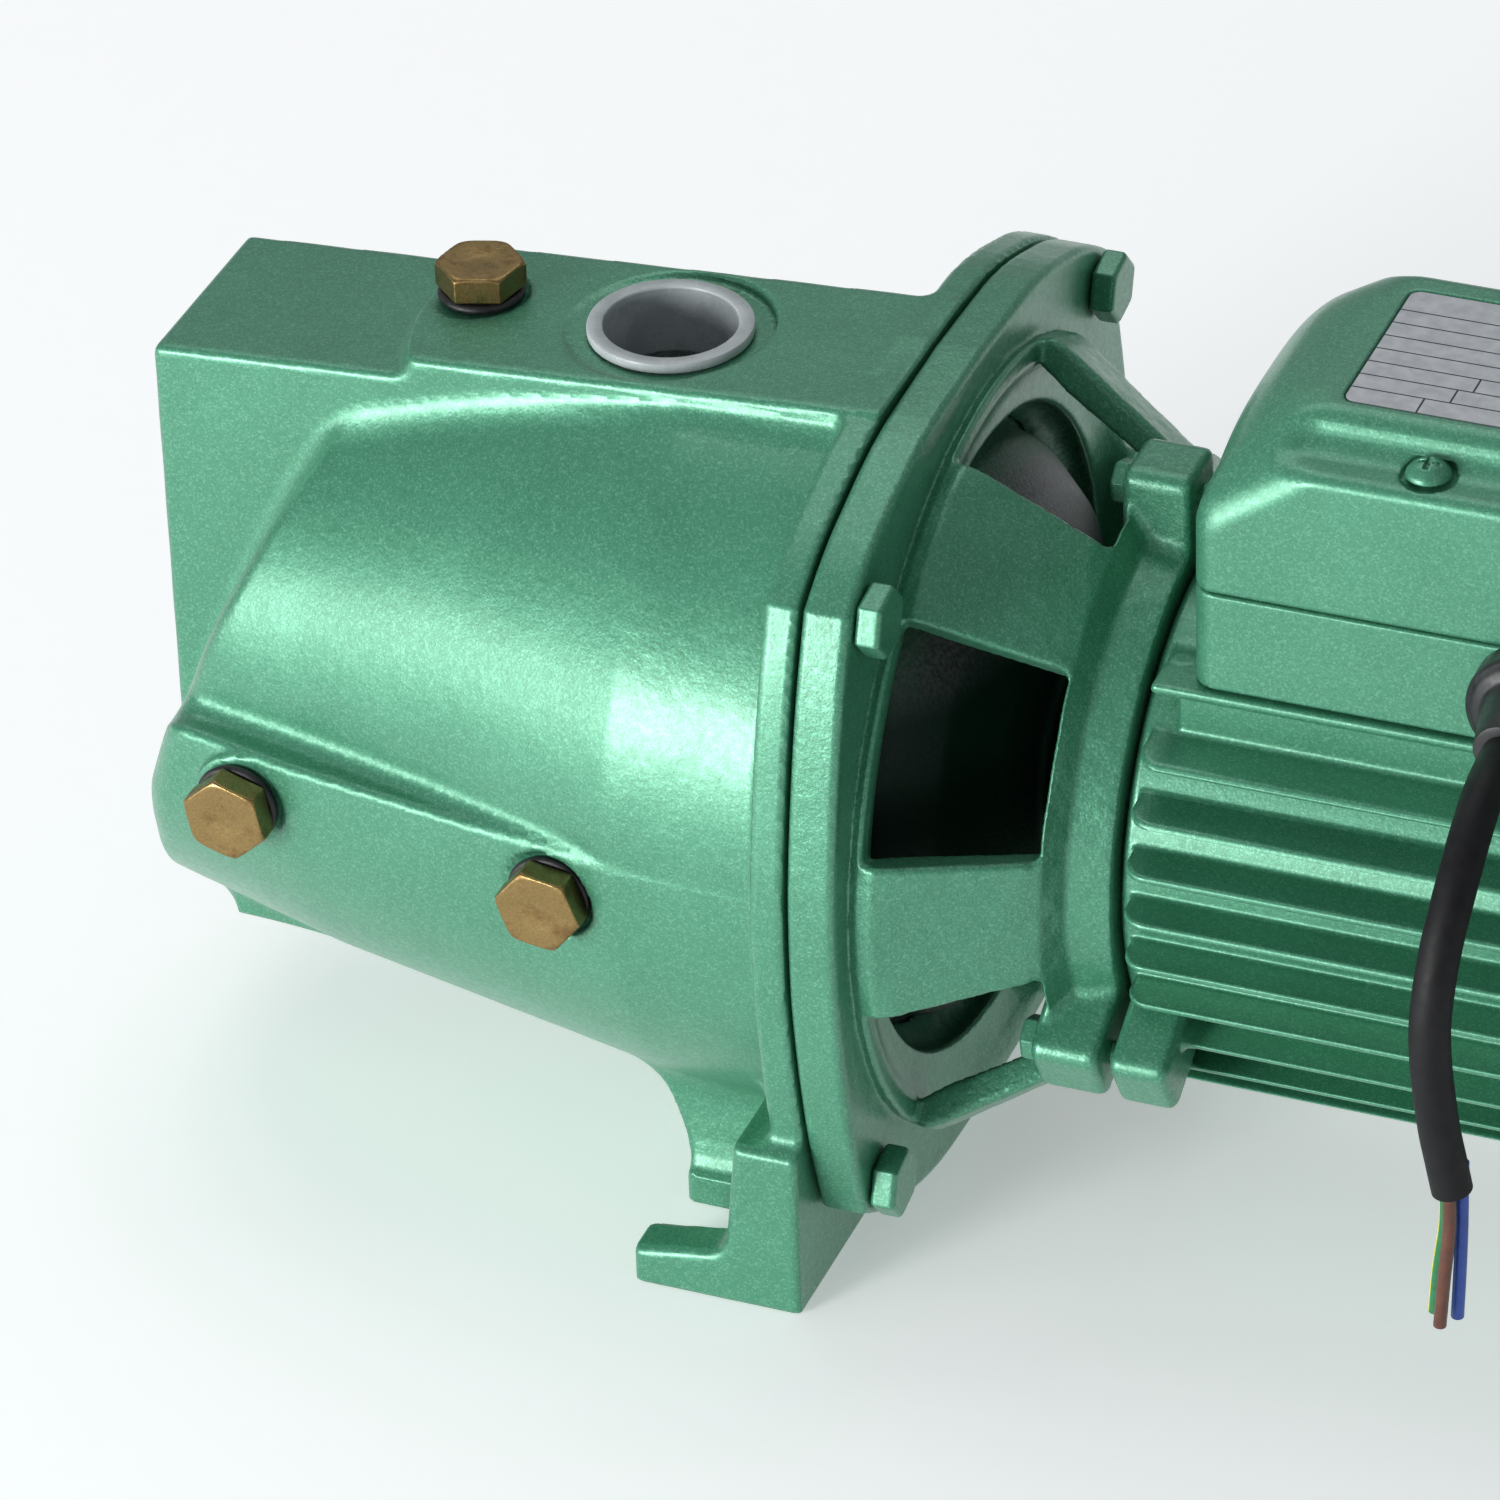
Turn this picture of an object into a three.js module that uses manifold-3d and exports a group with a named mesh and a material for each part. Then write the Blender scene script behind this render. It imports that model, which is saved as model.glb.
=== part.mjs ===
// Shallow well jet pump: cast body with ejector, lantern bracket, finned motor and terminal box.
// Millimetres. The pieces are drawn in the axis frame: X along the shaft towards the motor, Z up,
// origin on the shaft axis in the joint between the pump body and the bracket.
import * as THREE from 'three';
import { mergeVertices } from 'three/addons/utils/BufferGeometryUtils.js';
import Module from 'manifold-3d';

const wasm = await Module();
wasm.setup();

// ---------------------------------------------------------------- driving dimensions
const AXIS_HEIGHT = 90.4; // shaft axis above the ground
const GAP = 0.3; // face to face between neighbours

// flanged joint between body and bracket
const FLANGE_HALF_Y = 86;
const FLANGE_HALF_Z = 87;
const FLANGE_POWER = 4; // exponent of the bulging square outline
const BODY_FLANGE = 7.2;
const BRACKET_FLANGE = 10.3;
const BOLT_OFFSET = 66; // flange bolts, both ways from the axis
const BOLT_TIP = -6.2; // they end inside the body's flange

// pump body
const NOSE_X = -155.6;
const BLOCK_FRONT = -29.5;
const BLOCK_BACK = 17.6;
const BLOCK_MID = (BLOCK_FRONT + BLOCK_BACK) / 2;
const LAND_Z = 88.1; // top land at the flange, sloping down to the nose
const LAND_SLOPE = 0.065;
const LAND_STEP = 4.1;
const LAND_RADIUS = 52.4; // the land ends in an arc round the discharge port
const LEDGE_Z = 6.5; // top of the ejector housing
const WALL = 6;
const KEEL = [-146, -61.4]; // lower front corner of the port block

// ports and plugs
const DISCHARGE = [-53.25, -5.4];
const PRIMING = [-95.5, -1.5];
const SIDE_PLUGS = [{ x: -125, y: -67.5, turn: -18 }, { x: -53.5, y: -77, turn: -9 }];
const SIDE_PLUG_Z = -5;
const PORT_BORE = 15.3;
const PORT_SPOT = 21;
const CAP_RIM = 16.7;
const CAP_INNER = 13.5;
const CAP_DEPTH = 14;
const PLUG_FLATS = 16;
const PLUG_HEAD = 5.6;
const PLUG_SHANK = 6.3;
const PLUG_SPOT = 9.7;

// foot
const FOOT_HALF_Y = 84.2;
const FOOT_X = -36.2;

// bracket
const RING_X = 56.1; // bracket to motor joint
const RING_R = 55;
const WINDOW_X = [13.5, 43];
const WINDOWS = [[37.5, 22.5], [90, 17], [150, 17], [210, 17], [260.5, 24.5], [330, 17]]; // middle, half
const TIE_R = 64;
const TIE_ANGLES = [90, 210, 330];
const HUB_R = 25;

// motor
const FRAME_END = 188;
const FRAME_R = 52;
const FRAME_BORE = 46;
const STACK = [82, 136]; // stator laminations
const FIN_R = 61;
const FIN_PITCH = 10.2;
const FIN_THICK = 2;
const COVER_END = 235;
const COVER_R = 61;

// shaft and bearings
const BEARING = { bore: 8.5, outer: 20, width: 12 };
const FRONT_BEARING_X = 42;
const REAR_BEARING_X = 176;
const SHAFT_R = 7;

// terminal box
const BOX_X = [66.5, 163];
const BOX_HALF_Y = 39.5;
const BOX_FOOT = 46;
const BOX_FLOOR = 55.5; // inside, above the round frame
const BOX_SPLIT = 67.7;
const BOX_LEDGE = 98;
const BOX_TOP = 105;
const BOX_MID = (BOX_X[0] + BOX_X[1]) / 2;
const GLAND = { x: 136, z: 58.3, r: 12.2, end: -60.5 };

// mains lead
const LEAD_R = 4;
const CORE_R = 1.3;

// ---------------------------------------------------------------- materials
const paint = (color, roughness, metalness) => new THREE.MeshStandardMaterial({ color, roughness, metalness });
const GREEN = () => paint(0x4f9f7c, 0.42, 0.35);
const BRASS = () => paint(0xa08a52, 0.4, 0.9);
const RUBBER = () => paint(0x16171a, 0.75, 0);
const STEEL = () => paint(0x9a9da0, 0.35, 1);
const PLASTIC = () => paint(0x22252a, 0.55, 0);
const CAP_WHITE = () => paint(0xd8dcde, 0.35, 0);
const COPPER = () => paint(0xa4552c, 0.4, 0.9);
const LAMINATION = () => paint(0x6d6f74, 0.5, 0.9);
const CERAMIC = () => paint(0xe6e2d8, 0.3, 0);
const NORYL = () => paint(0xc9c4b4, 0.5, 0);

// ---------------------------------------------------------------- solids
const radians = (degrees) => degrees * Math.PI / 180;

function solid(geometry) {
  const bare = geometry.clone();
  bare.deleteAttribute('normal');
  bare.deleteAttribute('uv');
  const merged = mergeVertices(bare, 1e-4);
  const vertProperties = new Float32Array(merged.attributes.position.array);
  const triVerts = dropSlivers(merged.index.array);
  const body = new wasm.Manifold(new wasm.Mesh({ numProp: 3, vertProperties, triVerts }));
  if (body.volume() > 0) return body;
  const flipped = triVerts.slice();
  for (let i = 0; i < flipped.length; i += 3) [flipped[i], flipped[i + 1]] = [triVerts[i + 1], triVerts[i]];
  return new wasm.Manifold(new wasm.Mesh({ numProp: 3, vertProperties, triVerts: flipped }));
}

function dropSlivers(index) {
  const kept = [];
  for (let i = 0; i < index.length; i += 3) {
    const [a, b, c] = [index[i], index[i + 1], index[i + 2]];
    if (a !== b && b !== c && c !== a) kept.push(a, b, c);
  }
  return new Uint32Array(kept);
}

function toGeometry(body) {
  const mesh = body.getMesh();
  const geometry = new THREE.BufferGeometry();
  geometry.setAttribute('position', new THREE.BufferAttribute(new Float32Array(mesh.vertProperties), 3));
  geometry.setIndex(new THREE.BufferAttribute(new Uint32Array(mesh.triVerts), 1));
  geometry.computeVertexNormals();
  return geometry;
}

const join = (...bodies) => bodies.reduce((sum, body) => sum.add(body));
const cut = (body, ...tools) => tools.reduce((rest, tool) => rest.subtract(tool), body);

function box(x0, x1, y0, y1, z0, z1) {
  const geometry = new THREE.BoxGeometry(x1 - x0, y1 - y0, z1 - z0);
  return solid(geometry.translate((x0 + x1) / 2, (y0 + y1) / 2, (z0 + z1) / 2));
}

// profile: [along, radius] pairs round the piece, revolved about the X axis
function turned(profile, segments = 24) {
  const points = profile.map(([along, radius]) => new THREE.Vector2(radius, along));
  return solid(new THREE.LatheGeometry(points, segments).rotateZ(-Math.PI / 2));
}

const rod = (x0, x1, r, segments = 20) => turned([[x0, 0], [x0, r], [x1, r], [x1, 0]], segments);
const ring = (x0, x1, inner, outer, segments = 20) => turned(
  [[x0, inner], [x0, outer], [x1, outer], [x1, inner], [x0, inner]], segments);

// turns a solid drawn along +X so that its axis points along -Y or +Z or -X, then moves it
const TO_UP = new THREE.Matrix4().makeRotationY(-Math.PI / 2);
const TO_FRONT = new THREE.Matrix4().makeRotationZ(-Math.PI / 2);
const TO_NOSE = new THREE.Matrix4().makeRotationZ(Math.PI);
function aimed(body, turn, x, y, z) {
  return body.transform([...turn.elements]).translate([x, y, z]);
}

function shapeOf(points) {
  return new THREE.Shape(points.map(([u, v]) => new THREE.Vector2(u, v)));
}

const ALONG_X = new THREE.Matrix4().set(0, 0, 1, 0, 1, 0, 0, 0, 0, 1, 0, 0, 0, 0, 0, 1);
const ALONG_Y = new THREE.Matrix4().set(1, 0, 0, 0, 0, 0, -1, 0, 0, 1, 0, 0, 0, 0, 0, 1);

// shape in the plane (y, z), extruded from x0 to x1
function prismX(shape, x0, x1, curveSegments = 12) {
  const geometry = new THREE.ExtrudeGeometry(shape, { depth: x1 - x0, bevelEnabled: false, curveSegments });
  return solid(geometry.applyMatrix4(ALONG_X).translate(x0, 0, 0));
}

// shape in the plane (x, z), extruded from y0 to y1
function prismY(shape, y0, y1, curveSegments = 12) {
  const geometry = new THREE.ExtrudeGeometry(shape, { depth: y1 - y0, bevelEnabled: false, curveSegments });
  return solid(geometry.applyMatrix4(ALONG_Y).translate(0, y1, 0));
}

// shape in the plane (x, y), extruded from z0 to z1
function prismZ(shape, z0, z1, curveSegments = 12) {
  const geometry = new THREE.ExtrudeGeometry(shape, { depth: z1 - z0, bevelEnabled: false, curveSegments });
  return solid(geometry.translate(0, 0, z0));
}

function polygon(radius, sides, turn) {
  const points = [];
  for (let i = 0; i < sides; i++) {
    const angle = radians(turn + 360 * i / sides);
    points.push([radius * Math.cos(angle), radius * Math.sin(angle)]);
  }
  return shapeOf(points);
}

const hexShape = (flats, turn = 0) => polygon(flats / Math.sqrt(3), 6, turn);

function squircle(halfY, halfZ, steps = 28) {
  const points = [];
  for (let i = 0; i < steps; i++) {
    const angle = 2 * Math.PI * (i + 0.5) / steps;
    const [c, s] = [Math.cos(angle), Math.sin(angle)];
    const power = 2 / FLANGE_POWER;
    points.push([halfY * Math.sign(c) * Math.abs(c) ** power, halfZ * Math.sign(s) * Math.abs(s) ** power]);
  }
  return shapeOf(points);
}

function roundedRect(u0, u1, v0, v1, r) {
  const shape = new THREE.Shape();
  shape.moveTo(u0 + r, v0);
  shape.lineTo(u1 - r, v0);
  shape.absarc(u1 - r, v0 + r, r, -Math.PI / 2, 0);
  shape.lineTo(u1, v1 - r);
  shape.absarc(u1 - r, v1 - r, r, 0, Math.PI / 2);
  shape.lineTo(u0 + r, v1);
  shape.absarc(u0 + r, v1 - r, r, Math.PI / 2, Math.PI);
  shape.lineTo(u0, v0 + r);
  shape.absarc(u0 + r, v0 + r, r, Math.PI, 1.5 * Math.PI);
  return shape;
}

// a wedge about the X axis, between two radii, centred on an angle seen along +X from +Y
function sector(centre, half, r0, r1, x0, x1) {
  const at = (r, angle) => [r * Math.cos(radians(angle)), r * Math.sin(radians(angle))];
  const corners = [at(r0, centre - half), at(r1, centre - half), at(r1, centre + half), at(r0, centre + half)];
  return prismX(shapeOf(corners), x0, x1);
}

const around = (body, degrees) => body.rotate([degrees, 0, 0]);

function tubeAlong(points, radius, sides, steps) {
  const path = new THREE.CatmullRomCurve3(points.map((p) => new THREE.Vector3(...p)), false, 'centripetal');
  const section = polygon(radius, sides, 0);
  return solid(new THREE.ExtrudeGeometry(section, { steps, extrudePath: path, bevelEnabled: false }));
}

// ---------------------------------------------------------------- the object
const pump = new THREE.Group();
const CENTRE_X = (NOSE_X - 2.5 + COVER_END) / 2;
pump.position.set(-CENTRE_X, 0, AXIS_HEIGHT);

function add(name, body, material) {
  const mesh = new THREE.Mesh(toGeometry(body), material);
  mesh.name = name;
  pump.add(mesh);
  return mesh;
}

// ---------------------------------------------------------------- pump body
const landAt = (x) => LAND_Z + LAND_SLOPE * x;

// the lower half barrel holds the ejector and reaches further forward than the upper one
const LOWER_BARREL = [[-158, 58], [-114.6, 68], [-48, 79.5], [0, 85]];
const UPPER_BARREL = [[-158, 50], [-114.6, 59.2], [-84.7, 66.4], [-50.5, 76.5], [-20, 83.5], [0, 85]];
const BARREL_RISE = 12; // the upper barrel is centred higher towards the nose

const closed = (outline) => [[outline[0][0], 0], ...outline, [outline.at(-1)[0], 0]];

function raisedBarrel(outline, segments) {
  const points = closed(outline).map(([along, radius]) => new THREE.Vector2(radius, along));
  const geometry = new THREE.LatheGeometry(points, segments).rotateZ(-Math.PI / 2);
  const place = geometry.attributes.position;
  for (let i = 0; i < place.count; i++) {
    const share = THREE.MathUtils.clamp(-place.getX(i) / 80, 0, 1);
    place.setZ(i, place.getZ(i) + BARREL_RISE * share);
  }
  return solid(geometry);
}

function slantedEnd() {
  const shape = new THREE.Shape();
  shape.moveTo(0, 100);
  shape.lineTo(-104, 84);
  shape.quadraticCurveTo(-150, 4, -158, -60);
  shape.lineTo(-158, -100);
  shape.lineTo(0, -100);
  return prismY(shape, -100, 100, 8);
}

function blockAndLand() {
  const low = [[NOSE_X, -20], [KEEL[0], KEEL[1]], [-100, KEEL[1] - 2], [-8, KEEL[1] - 2],
    [-0.4, landAt(0) - LAND_STEP], [NOSE_X, landAt(NOSE_X) - LAND_STEP]];
  const high = [[-120, 40], [-0.4, 40], [-0.4, landAt(0)], [-120, landAt(-120)]];
  const lobe = polygon(LAND_RADIUS, 40, 0);
  const reach = prismZ(lobe, 30, 95).translate([DISCHARGE[0], DISCHARGE[1], 0]);
  const slab = prismY(shapeOf(high), BLOCK_FRONT, BLOCK_BACK + 1);
  const land = slab.intersect(join(reach, box(DISCHARGE[0], 0, BLOCK_FRONT - 1, BLOCK_BACK + 1, 30, 95)));
  return join(prismY(shapeOf(low), BLOCK_FRONT, BLOCK_BACK), land);
}

function foot() {
  const web = box(-18, -0.4, -FOOT_HALF_Y, FOOT_HALF_Y, -AXIS_HEIGHT, -52);
  const toe = shapeOf([[FOOT_X, -AXIS_HEIGHT], [-17, -AXIS_HEIGHT], [-17, -76], [-21, -79.5], [FOOT_X, -82]]);
  const pad = (side) => {
    const [near, far] = [FOOT_HALF_Y, FOOT_HALF_Y - 10.5];
    return prismY(toe, ...(side < 0 ? [-near, -far] : [far, near]));
  };
  const inner = prismX(gusset(-1), FOOT_X, -17);
  return join(web, pad(-1), pad(1), inner, prismX(gusset(1), FOOT_X, -17));
}

// the inner toe and its hollow curve up to the barrel
function gusset(side) {
  const shape = new THREE.Shape();
  shape.moveTo(side * 8, -AXIS_HEIGHT);
  shape.lineTo(side * 56, -AXIS_HEIGHT);
  shape.lineTo(side * 56, -83);
  shape.quadraticCurveTo(side * 47, -80, side * 50, -55);
  shape.lineTo(side * 8, -60);
  return shape;
}

function bodyCavities() {
  const impellerRoom = turned([[-34, 0], [-34, 60], [-28, 64], [1, 64], [1, 0]], 26);
  const plateSeat = rod(-2.6, 1, 70.4, 26);
  const jacket = turned([[-118, 0], [-118, 44], [-104, 50], [-40, 62], [-40, 0]], 24);
  const tank = prismY(shapeOf([[-148, 26], [-12, 26], [-12, 78], [-148, 68]]), BLOCK_FRONT + WALL, BLOCK_BACK - WALL);
  const spill = box(-48, -26, -20, 8, 44, 58);
  const inlet = rod(-160, -110, PORT_BORE, 20).translate([0, BLOCK_MID, 0]);
  const throat = rod(-60, -20, 17, 20);
  return [impellerRoom, plateSeat, jacket, tank, spill, inlet, throat];
}

// depth is measured down from the seat; the port points along the turned axis
function portCutter(bore, spot, depth, segments = 20) {
  return turned([[-depth, 0], [-depth, bore], [0, bore], [0, spot], [6, spot], [6, 0]], segments);
}

function flangeHoles(x0, x1, r) {
  const holes = [];
  for (const y of [-BOLT_OFFSET, BOLT_OFFSET]) {
    for (const z of [-BOLT_OFFSET, BOLT_OFFSET]) holes.push(rod(x0, x1, r, 10).translate([0, y, z]));
  }
  return holes;
}

const SPOT_DEPTH = 1;
const dischargeSeat = landAt(DISCHARGE[0]) - SPOT_DEPTH - 0.6;
const primingSeat = landAt(PRIMING[0]) - 0.7;

function pumpBody() {
  const lower = turned(closed(LOWER_BARREL), 24).intersect(box(-200, 0, -100, 100, -100, LEDGE_Z));
  const barrel = join(lower, raisedBarrel(UPPER_BARREL, 24)).intersect(slantedEnd());
  const flange = prismX(squircle(FLANGE_HALF_Y, FLANGE_HALF_Z), -BODY_FLANGE, -0.4);
  const core = join(barrel, blockAndLand());
  const cast = join(core, flange, foot()).intersect(box(-200, -0.4, -120, 120, -AXIS_HEIGHT, 120));
  const discharge = aimed(portCutter(PORT_BORE, PORT_SPOT, 30), TO_UP, DISCHARGE[0], DISCHARGE[1], dischargeSeat);
  const priming = aimed(portCutter(PLUG_SHANK + 0.3, PLUG_SPOT, 24), TO_UP, PRIMING[0], PRIMING[1], primingSeat);
  const sides = SIDE_PLUGS.map((p) => aimed(
    portCutter(PLUG_SHANK + 0.3, PLUG_SPOT, 24), TO_FRONT, p.x, p.y + 1.2, SIDE_PLUG_Z));
  return cut(cast, ...bodyCavities(), discharge, priming, ...sides, ...flangeHoles(BOLT_TIP - GAP, 1, 4.2));
}

add('pump_body', pumpBody(), GREEN());

// ---------------------------------------------------------------- caps and plugs
function cap() {
  const rim = 2.5;
  return turned([[rim, CAP_INNER], [rim, CAP_RIM], [GAP, CAP_RIM], [GAP, PORT_BORE - 0.4],
    [-CAP_DEPTH, PORT_BORE - 0.4], [-CAP_DEPTH, 0], [4 - CAP_DEPTH, 0], [4 - CAP_DEPTH, 3],
    [1.6 - CAP_DEPTH, 3], [1.6 - CAP_DEPTH, CAP_INNER - 0.6], [rim, CAP_INNER]], 20);
}

add('discharge_cap', aimed(cap(), TO_UP, DISCHARGE[0], DISCHARGE[1], dischargeSeat), CAP_WHITE());
add('suction_cap', aimed(cap(), TO_NOSE, NOSE_X, BLOCK_MID, 0), CAP_WHITE());

const SEAL_THICK = 2;
function plug(turn) {
  const seat = GAP + SEAL_THICK + GAP;
  const hex = prismX(hexShape(PLUG_FLATS, turn), seat, seat + PLUG_HEAD);
  const half = PLUG_FLATS / 2;
  const crown = turned([[seat - 1, 0], [seat - 1, 20], [seat + PLUG_HEAD - 3, 11],
    [seat + PLUG_HEAD, half - 1], [seat + PLUG_HEAD, 0]], 20);
  return join(hex.intersect(crown), rod(-9, seat + 1, PLUG_SHANK, 14));
}

const plugSeal = () => turned([[GAP, PLUG_SHANK + 0.2], [GAP, 8.2], [GAP + 1, 8.9],
  [GAP + SEAL_THICK, 8.2], [GAP + SEAL_THICK, PLUG_SHANK + 0.2], [GAP, PLUG_SHANK + 0.2]], 20);

add('priming_plug', aimed(plug(-42), TO_UP, PRIMING[0], PRIMING[1], primingSeat), BRASS());
add('priming_seal', aimed(plugSeal(), TO_UP, PRIMING[0], PRIMING[1], primingSeat), RUBBER());
SIDE_PLUGS.forEach((p, i) => {
  add(`side_plug_${i + 1}`, aimed(plug(90 - p.turn), TO_FRONT, p.x, p.y + 1.2, SIDE_PLUG_Z), BRASS());
  add(`side_seal_${i + 1}`, aimed(plugSeal(), TO_FRONT, p.x, p.y + 1.2, SIDE_PLUG_Z), RUBBER());
});

// ---------------------------------------------------------------- ejector and hydraulics
add('ejector_nozzle', turned([[-117, 6], [-117, 15.5], [-113, 15.5], [-113, 11], [-98, 6.5], [-92, 5],
  [-92, 3.6], [-98, 4], [-113, 8], [-117, 6]], 18).translate([0, BLOCK_MID, 0]), BRASS());
add('venturi_tube', turned([[-88, 6], [-88, 11], [-84, 12], [-60, 12], [-34, 16.6], [-26, 16.6],
  [-26, 12], [-34, 12], [-70, 5.5], [-88, 6]], 18), NORYL());

function diffuser() {
  const plate = ring(-25.6, -22, 14, 62.5, 26);
  const rim = ring(-22.5, -5, 59.5, 62.5, 26);
  const collar = ring(-25.6, -17.5, 14, 18, 20);
  const vanes = [];
  for (let i = 0; i < 6; i++) vanes.push(sector(60 * i, 2, 54, 60, -22.5, -6));
  return join(plate, rim, collar, ...vanes);
}
add('diffuser', diffuser(), NORYL());

function impeller() {
  const hub = ring(-16, -4.4, SHAFT_R + 0.05, 12, 20);
  const back = ring(-7, -5, 9, 52, 26);
  const front = ring(-17, -15, 20.5, 52, 26);
  const vanes = [];
  for (let i = 0; i < 6; i++) vanes.push(around(sector(12, 2.4, 20, 51.5, -15.5, -6.5), 60 * i));
  return join(hub, back, front, ...vanes);
}
const impellerSolid = cut(impeller(), box(-20, 0, -2.1, 2.1, 0, 9.1));
add('impeller', impellerSolid, BRASS());
add('impeller_nut', cut(prismX(hexShape(13), -23.5, -16.4), rod(-30, 0, 5.3, 20)), STEEL());
add('impeller_key', box(-15.5, -5, -1.9, 1.9, 4.3, 8.9), STEEL());

// ---------------------------------------------------------------- seal plate and shaft seal
add('body_gasket', ring(-2.4, -1.9, 65, 69.8, 26), RUBBER());
add('seal_plate', turned([[-1.6, 58], [-1.6, 69.8], [0, 69.8], [0, 61], [8, 59], [18, 50], [25, 34],
  [28, 22], [30, 21], [30, 10.5], [20, 10.5], [20, 20], [10, 42], [-1.6, 58]], 26), LAMINATION());
add('seal_seat', ring(12.5, 19.6, SHAFT_R + 1, 18, 18), CERAMIC());
add('seal_head', turned([[6, SHAFT_R + 0.05], [6, 12], [8, 14], [12.2, 14], [12.2, SHAFT_R + 0.05],
  [6, SHAFT_R + 0.05]], 20), RUBBER());

function spring() {
  const turns = 4;
  const points = [];
  for (let i = 0; i <= turns * 8; i++) {
    const angle = 2 * Math.PI * i / 8;
    points.push([-3.2 + 8 * i / (turns * 8), 9.6 * Math.cos(angle), 9.6 * Math.sin(angle)]);
  }
  return tubeAlong(points, 0.7, 5, turns * 9);
}
add('seal_spring', spring(), STEEL());
add('slinger', turned([[31.5, SHAFT_R + 0.8], [31.5, 16], [32.5, 16], [33.5, 11], [35, 11], [35, SHAFT_R + 0.8],
  [31.5, SHAFT_R + 0.8]], 20), RUBBER());

function shaft() {
  const b = BEARING.bore - 0.05;
  const bar = turned([[-24.5, 0], [-24.5, 5], [-16.2, 5], [-16.2, SHAFT_R], [36, SHAFT_R], [36, b], [55, b],
    [56, 11], [172, 11], [172, b], [190, b], [190, 6.5], [214, 6.5], [214, 0]], 20);
  return cut(bar, box(-16, -4.6, -2.1, 2.1, 4, 9));
}
add('shaft', shaft(), STEEL());

// ---------------------------------------------------------------- bracket
function bracketShell() {
  const outer = [[0.4, 62], [0.4, 84], [10.3, 84], [15, 81], [43.5, 62.5], [47, 57], [RING_X - GAP, RING_R]];
  const inner = [[RING_X - GAP, HUB_R - 2], [48.5, HUB_R - 2], [48.5, 50], [42, 56], [12, 74], [8, 68]];
  return turned([...outer, ...inner, outer[0]], 24);
}

function lug(angle, x0, x1, inner) {
  const block = roundedRect(inner, 71, -8, 8, 3);
  return around(prismX(block, x0, x1, 3), angle);
}

function bracket() {
  const flange = prismX(squircle(FLANGE_HALF_Y, FLANGE_HALF_Z), 0.4, BRACKET_FLANGE);
  const flangeRing = cut(flange, rod(0, 12, 66, 24));
  const hub = ring(34, RING_X - GAP, BEARING.outer + 0.05, HUB_R, 20);
  const stop = ring(34, 36, 13, HUB_R, 20);
  const lugs = TIE_ANGLES.map((angle) => lug(angle, 41.5, RING_X - GAP, 50));
  const windows = WINDOWS.map(([middle, half]) => sector(middle, half, 40, 100, ...WINDOW_X));
  const shell = cut(bracketShell(), ...windows);
  const ties = TIE_ANGLES.map((angle) => around(rod(30, 60, 2.8, 10).translate([0, TIE_R, 0]), angle));
  return cut(join(shell, flangeRing, hub, stop, ...lugs), ...ties, ...flangeHoles(0, 12, 4.3));
}
add('bracket', bracket(), GREEN());

function flangeBolt() {
  const head = prismX(hexShape(13, 12), BRACKET_FLANGE + GAP, BRACKET_FLANGE + GAP + 5.3);
  const crown = turned([[0, 0], [0, 12], [13.8, 8.6], [BRACKET_FLANGE + GAP + 5.3, 6.2],
    [BRACKET_FLANGE + GAP + 5.3, 0]], 14);
  return join(head.intersect(crown), rod(BOLT_TIP, BRACKET_FLANGE + 1, 3.9, 16));
}
let boltNumber = 1;
for (const y of [-BOLT_OFFSET, BOLT_OFFSET]) {
  for (const z of [-BOLT_OFFSET, BOLT_OFFSET]) {
    add(`flange_bolt_${boltNumber}`, flangeBolt().translate([0, y, z]), GREEN());
    boltNumber += 1;
  }
}

// ---------------------------------------------------------------- motor
function fins() {
  const bars = [];
  for (let i = -5; i <= 3; i++) {
    const z = 2.9 + FIN_PITCH * i;
    const reach = Math.sqrt(FIN_R ** 2 - z ** 2);
    const plan = roundedRect(59, FRAME_END - 1, -reach, reach, 5);
    bars.push(prismZ(plan, z - FIN_THICK / 2, z + FIN_THICK / 2, 2));
  }
  for (const y of [-20, -10, 0, 10, 20]) {
    const deep = Math.sqrt(FIN_R ** 2 - y ** 2);
    bars.push(box(59, FRAME_END - 1, y - FIN_THICK / 2, y + FIN_THICK / 2, -deep, -44));
  }
  return bars;
}

function motorFrame() {
  const tube = turned([[RING_X + GAP, 0], [RING_X + GAP, RING_R - 0.5], [58.5, RING_R], [60, FRAME_R],
    [FRAME_END - 4, FRAME_R], [FRAME_END - 2, RING_R], [FRAME_END, RING_R], [FRAME_END, 0]], 24);
  const seat = box(59, BOX_X[1] + 3, -BOX_HALF_Y - 1.5, BOX_HALF_Y + 1.5, 30, BOX_FOOT - GAP);
  const lugs = TIE_ANGLES.flatMap((a) => [lug(a, 59, BOX_X[0] - 0.5, 48), lug(a, 177, FRAME_END, 48)]);
  const ties = TIE_ANGLES.map((a) => around(rod(50, 200, 2.8, 10).translate([0, TIE_R, 0]), a));
  const wireHole = box(105, 125, -10, 10, 30, 60);
  const bore = rod(50, 200, FRAME_BORE, 24);
  return cut(join(tube, seat, ...fins(), ...lugs), bore, wireHole, ...ties);
}
add('motor_frame', motorFrame(), GREEN());

// a hexagon-headed screw along the shaft direction; the head sits on the side that dir points to
function lugScrew(seat, dir, length) {
  const [low, high] = dir > 0 ? [seat, seat + 3.5] : [seat - 3.5, seat];
  const tip = seat - dir * length;
  const shank = rod(Math.min(seat + dir, tip), Math.max(seat + dir, tip), 2.5, 12);
  return join(prismX(hexShape(8, 20), low, high), shank).translate([0, TIE_R, 0]);
}
TIE_ANGLES.forEach((angle, i) => {
  add(`ring_screw_${i + 1}`, around(lugScrew(41.2, -1, 24), angle), STEEL());
  add(`shield_screw_${i + 1}`, around(lugScrew(193.3, 1, 13), angle), STEEL());
});

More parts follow.
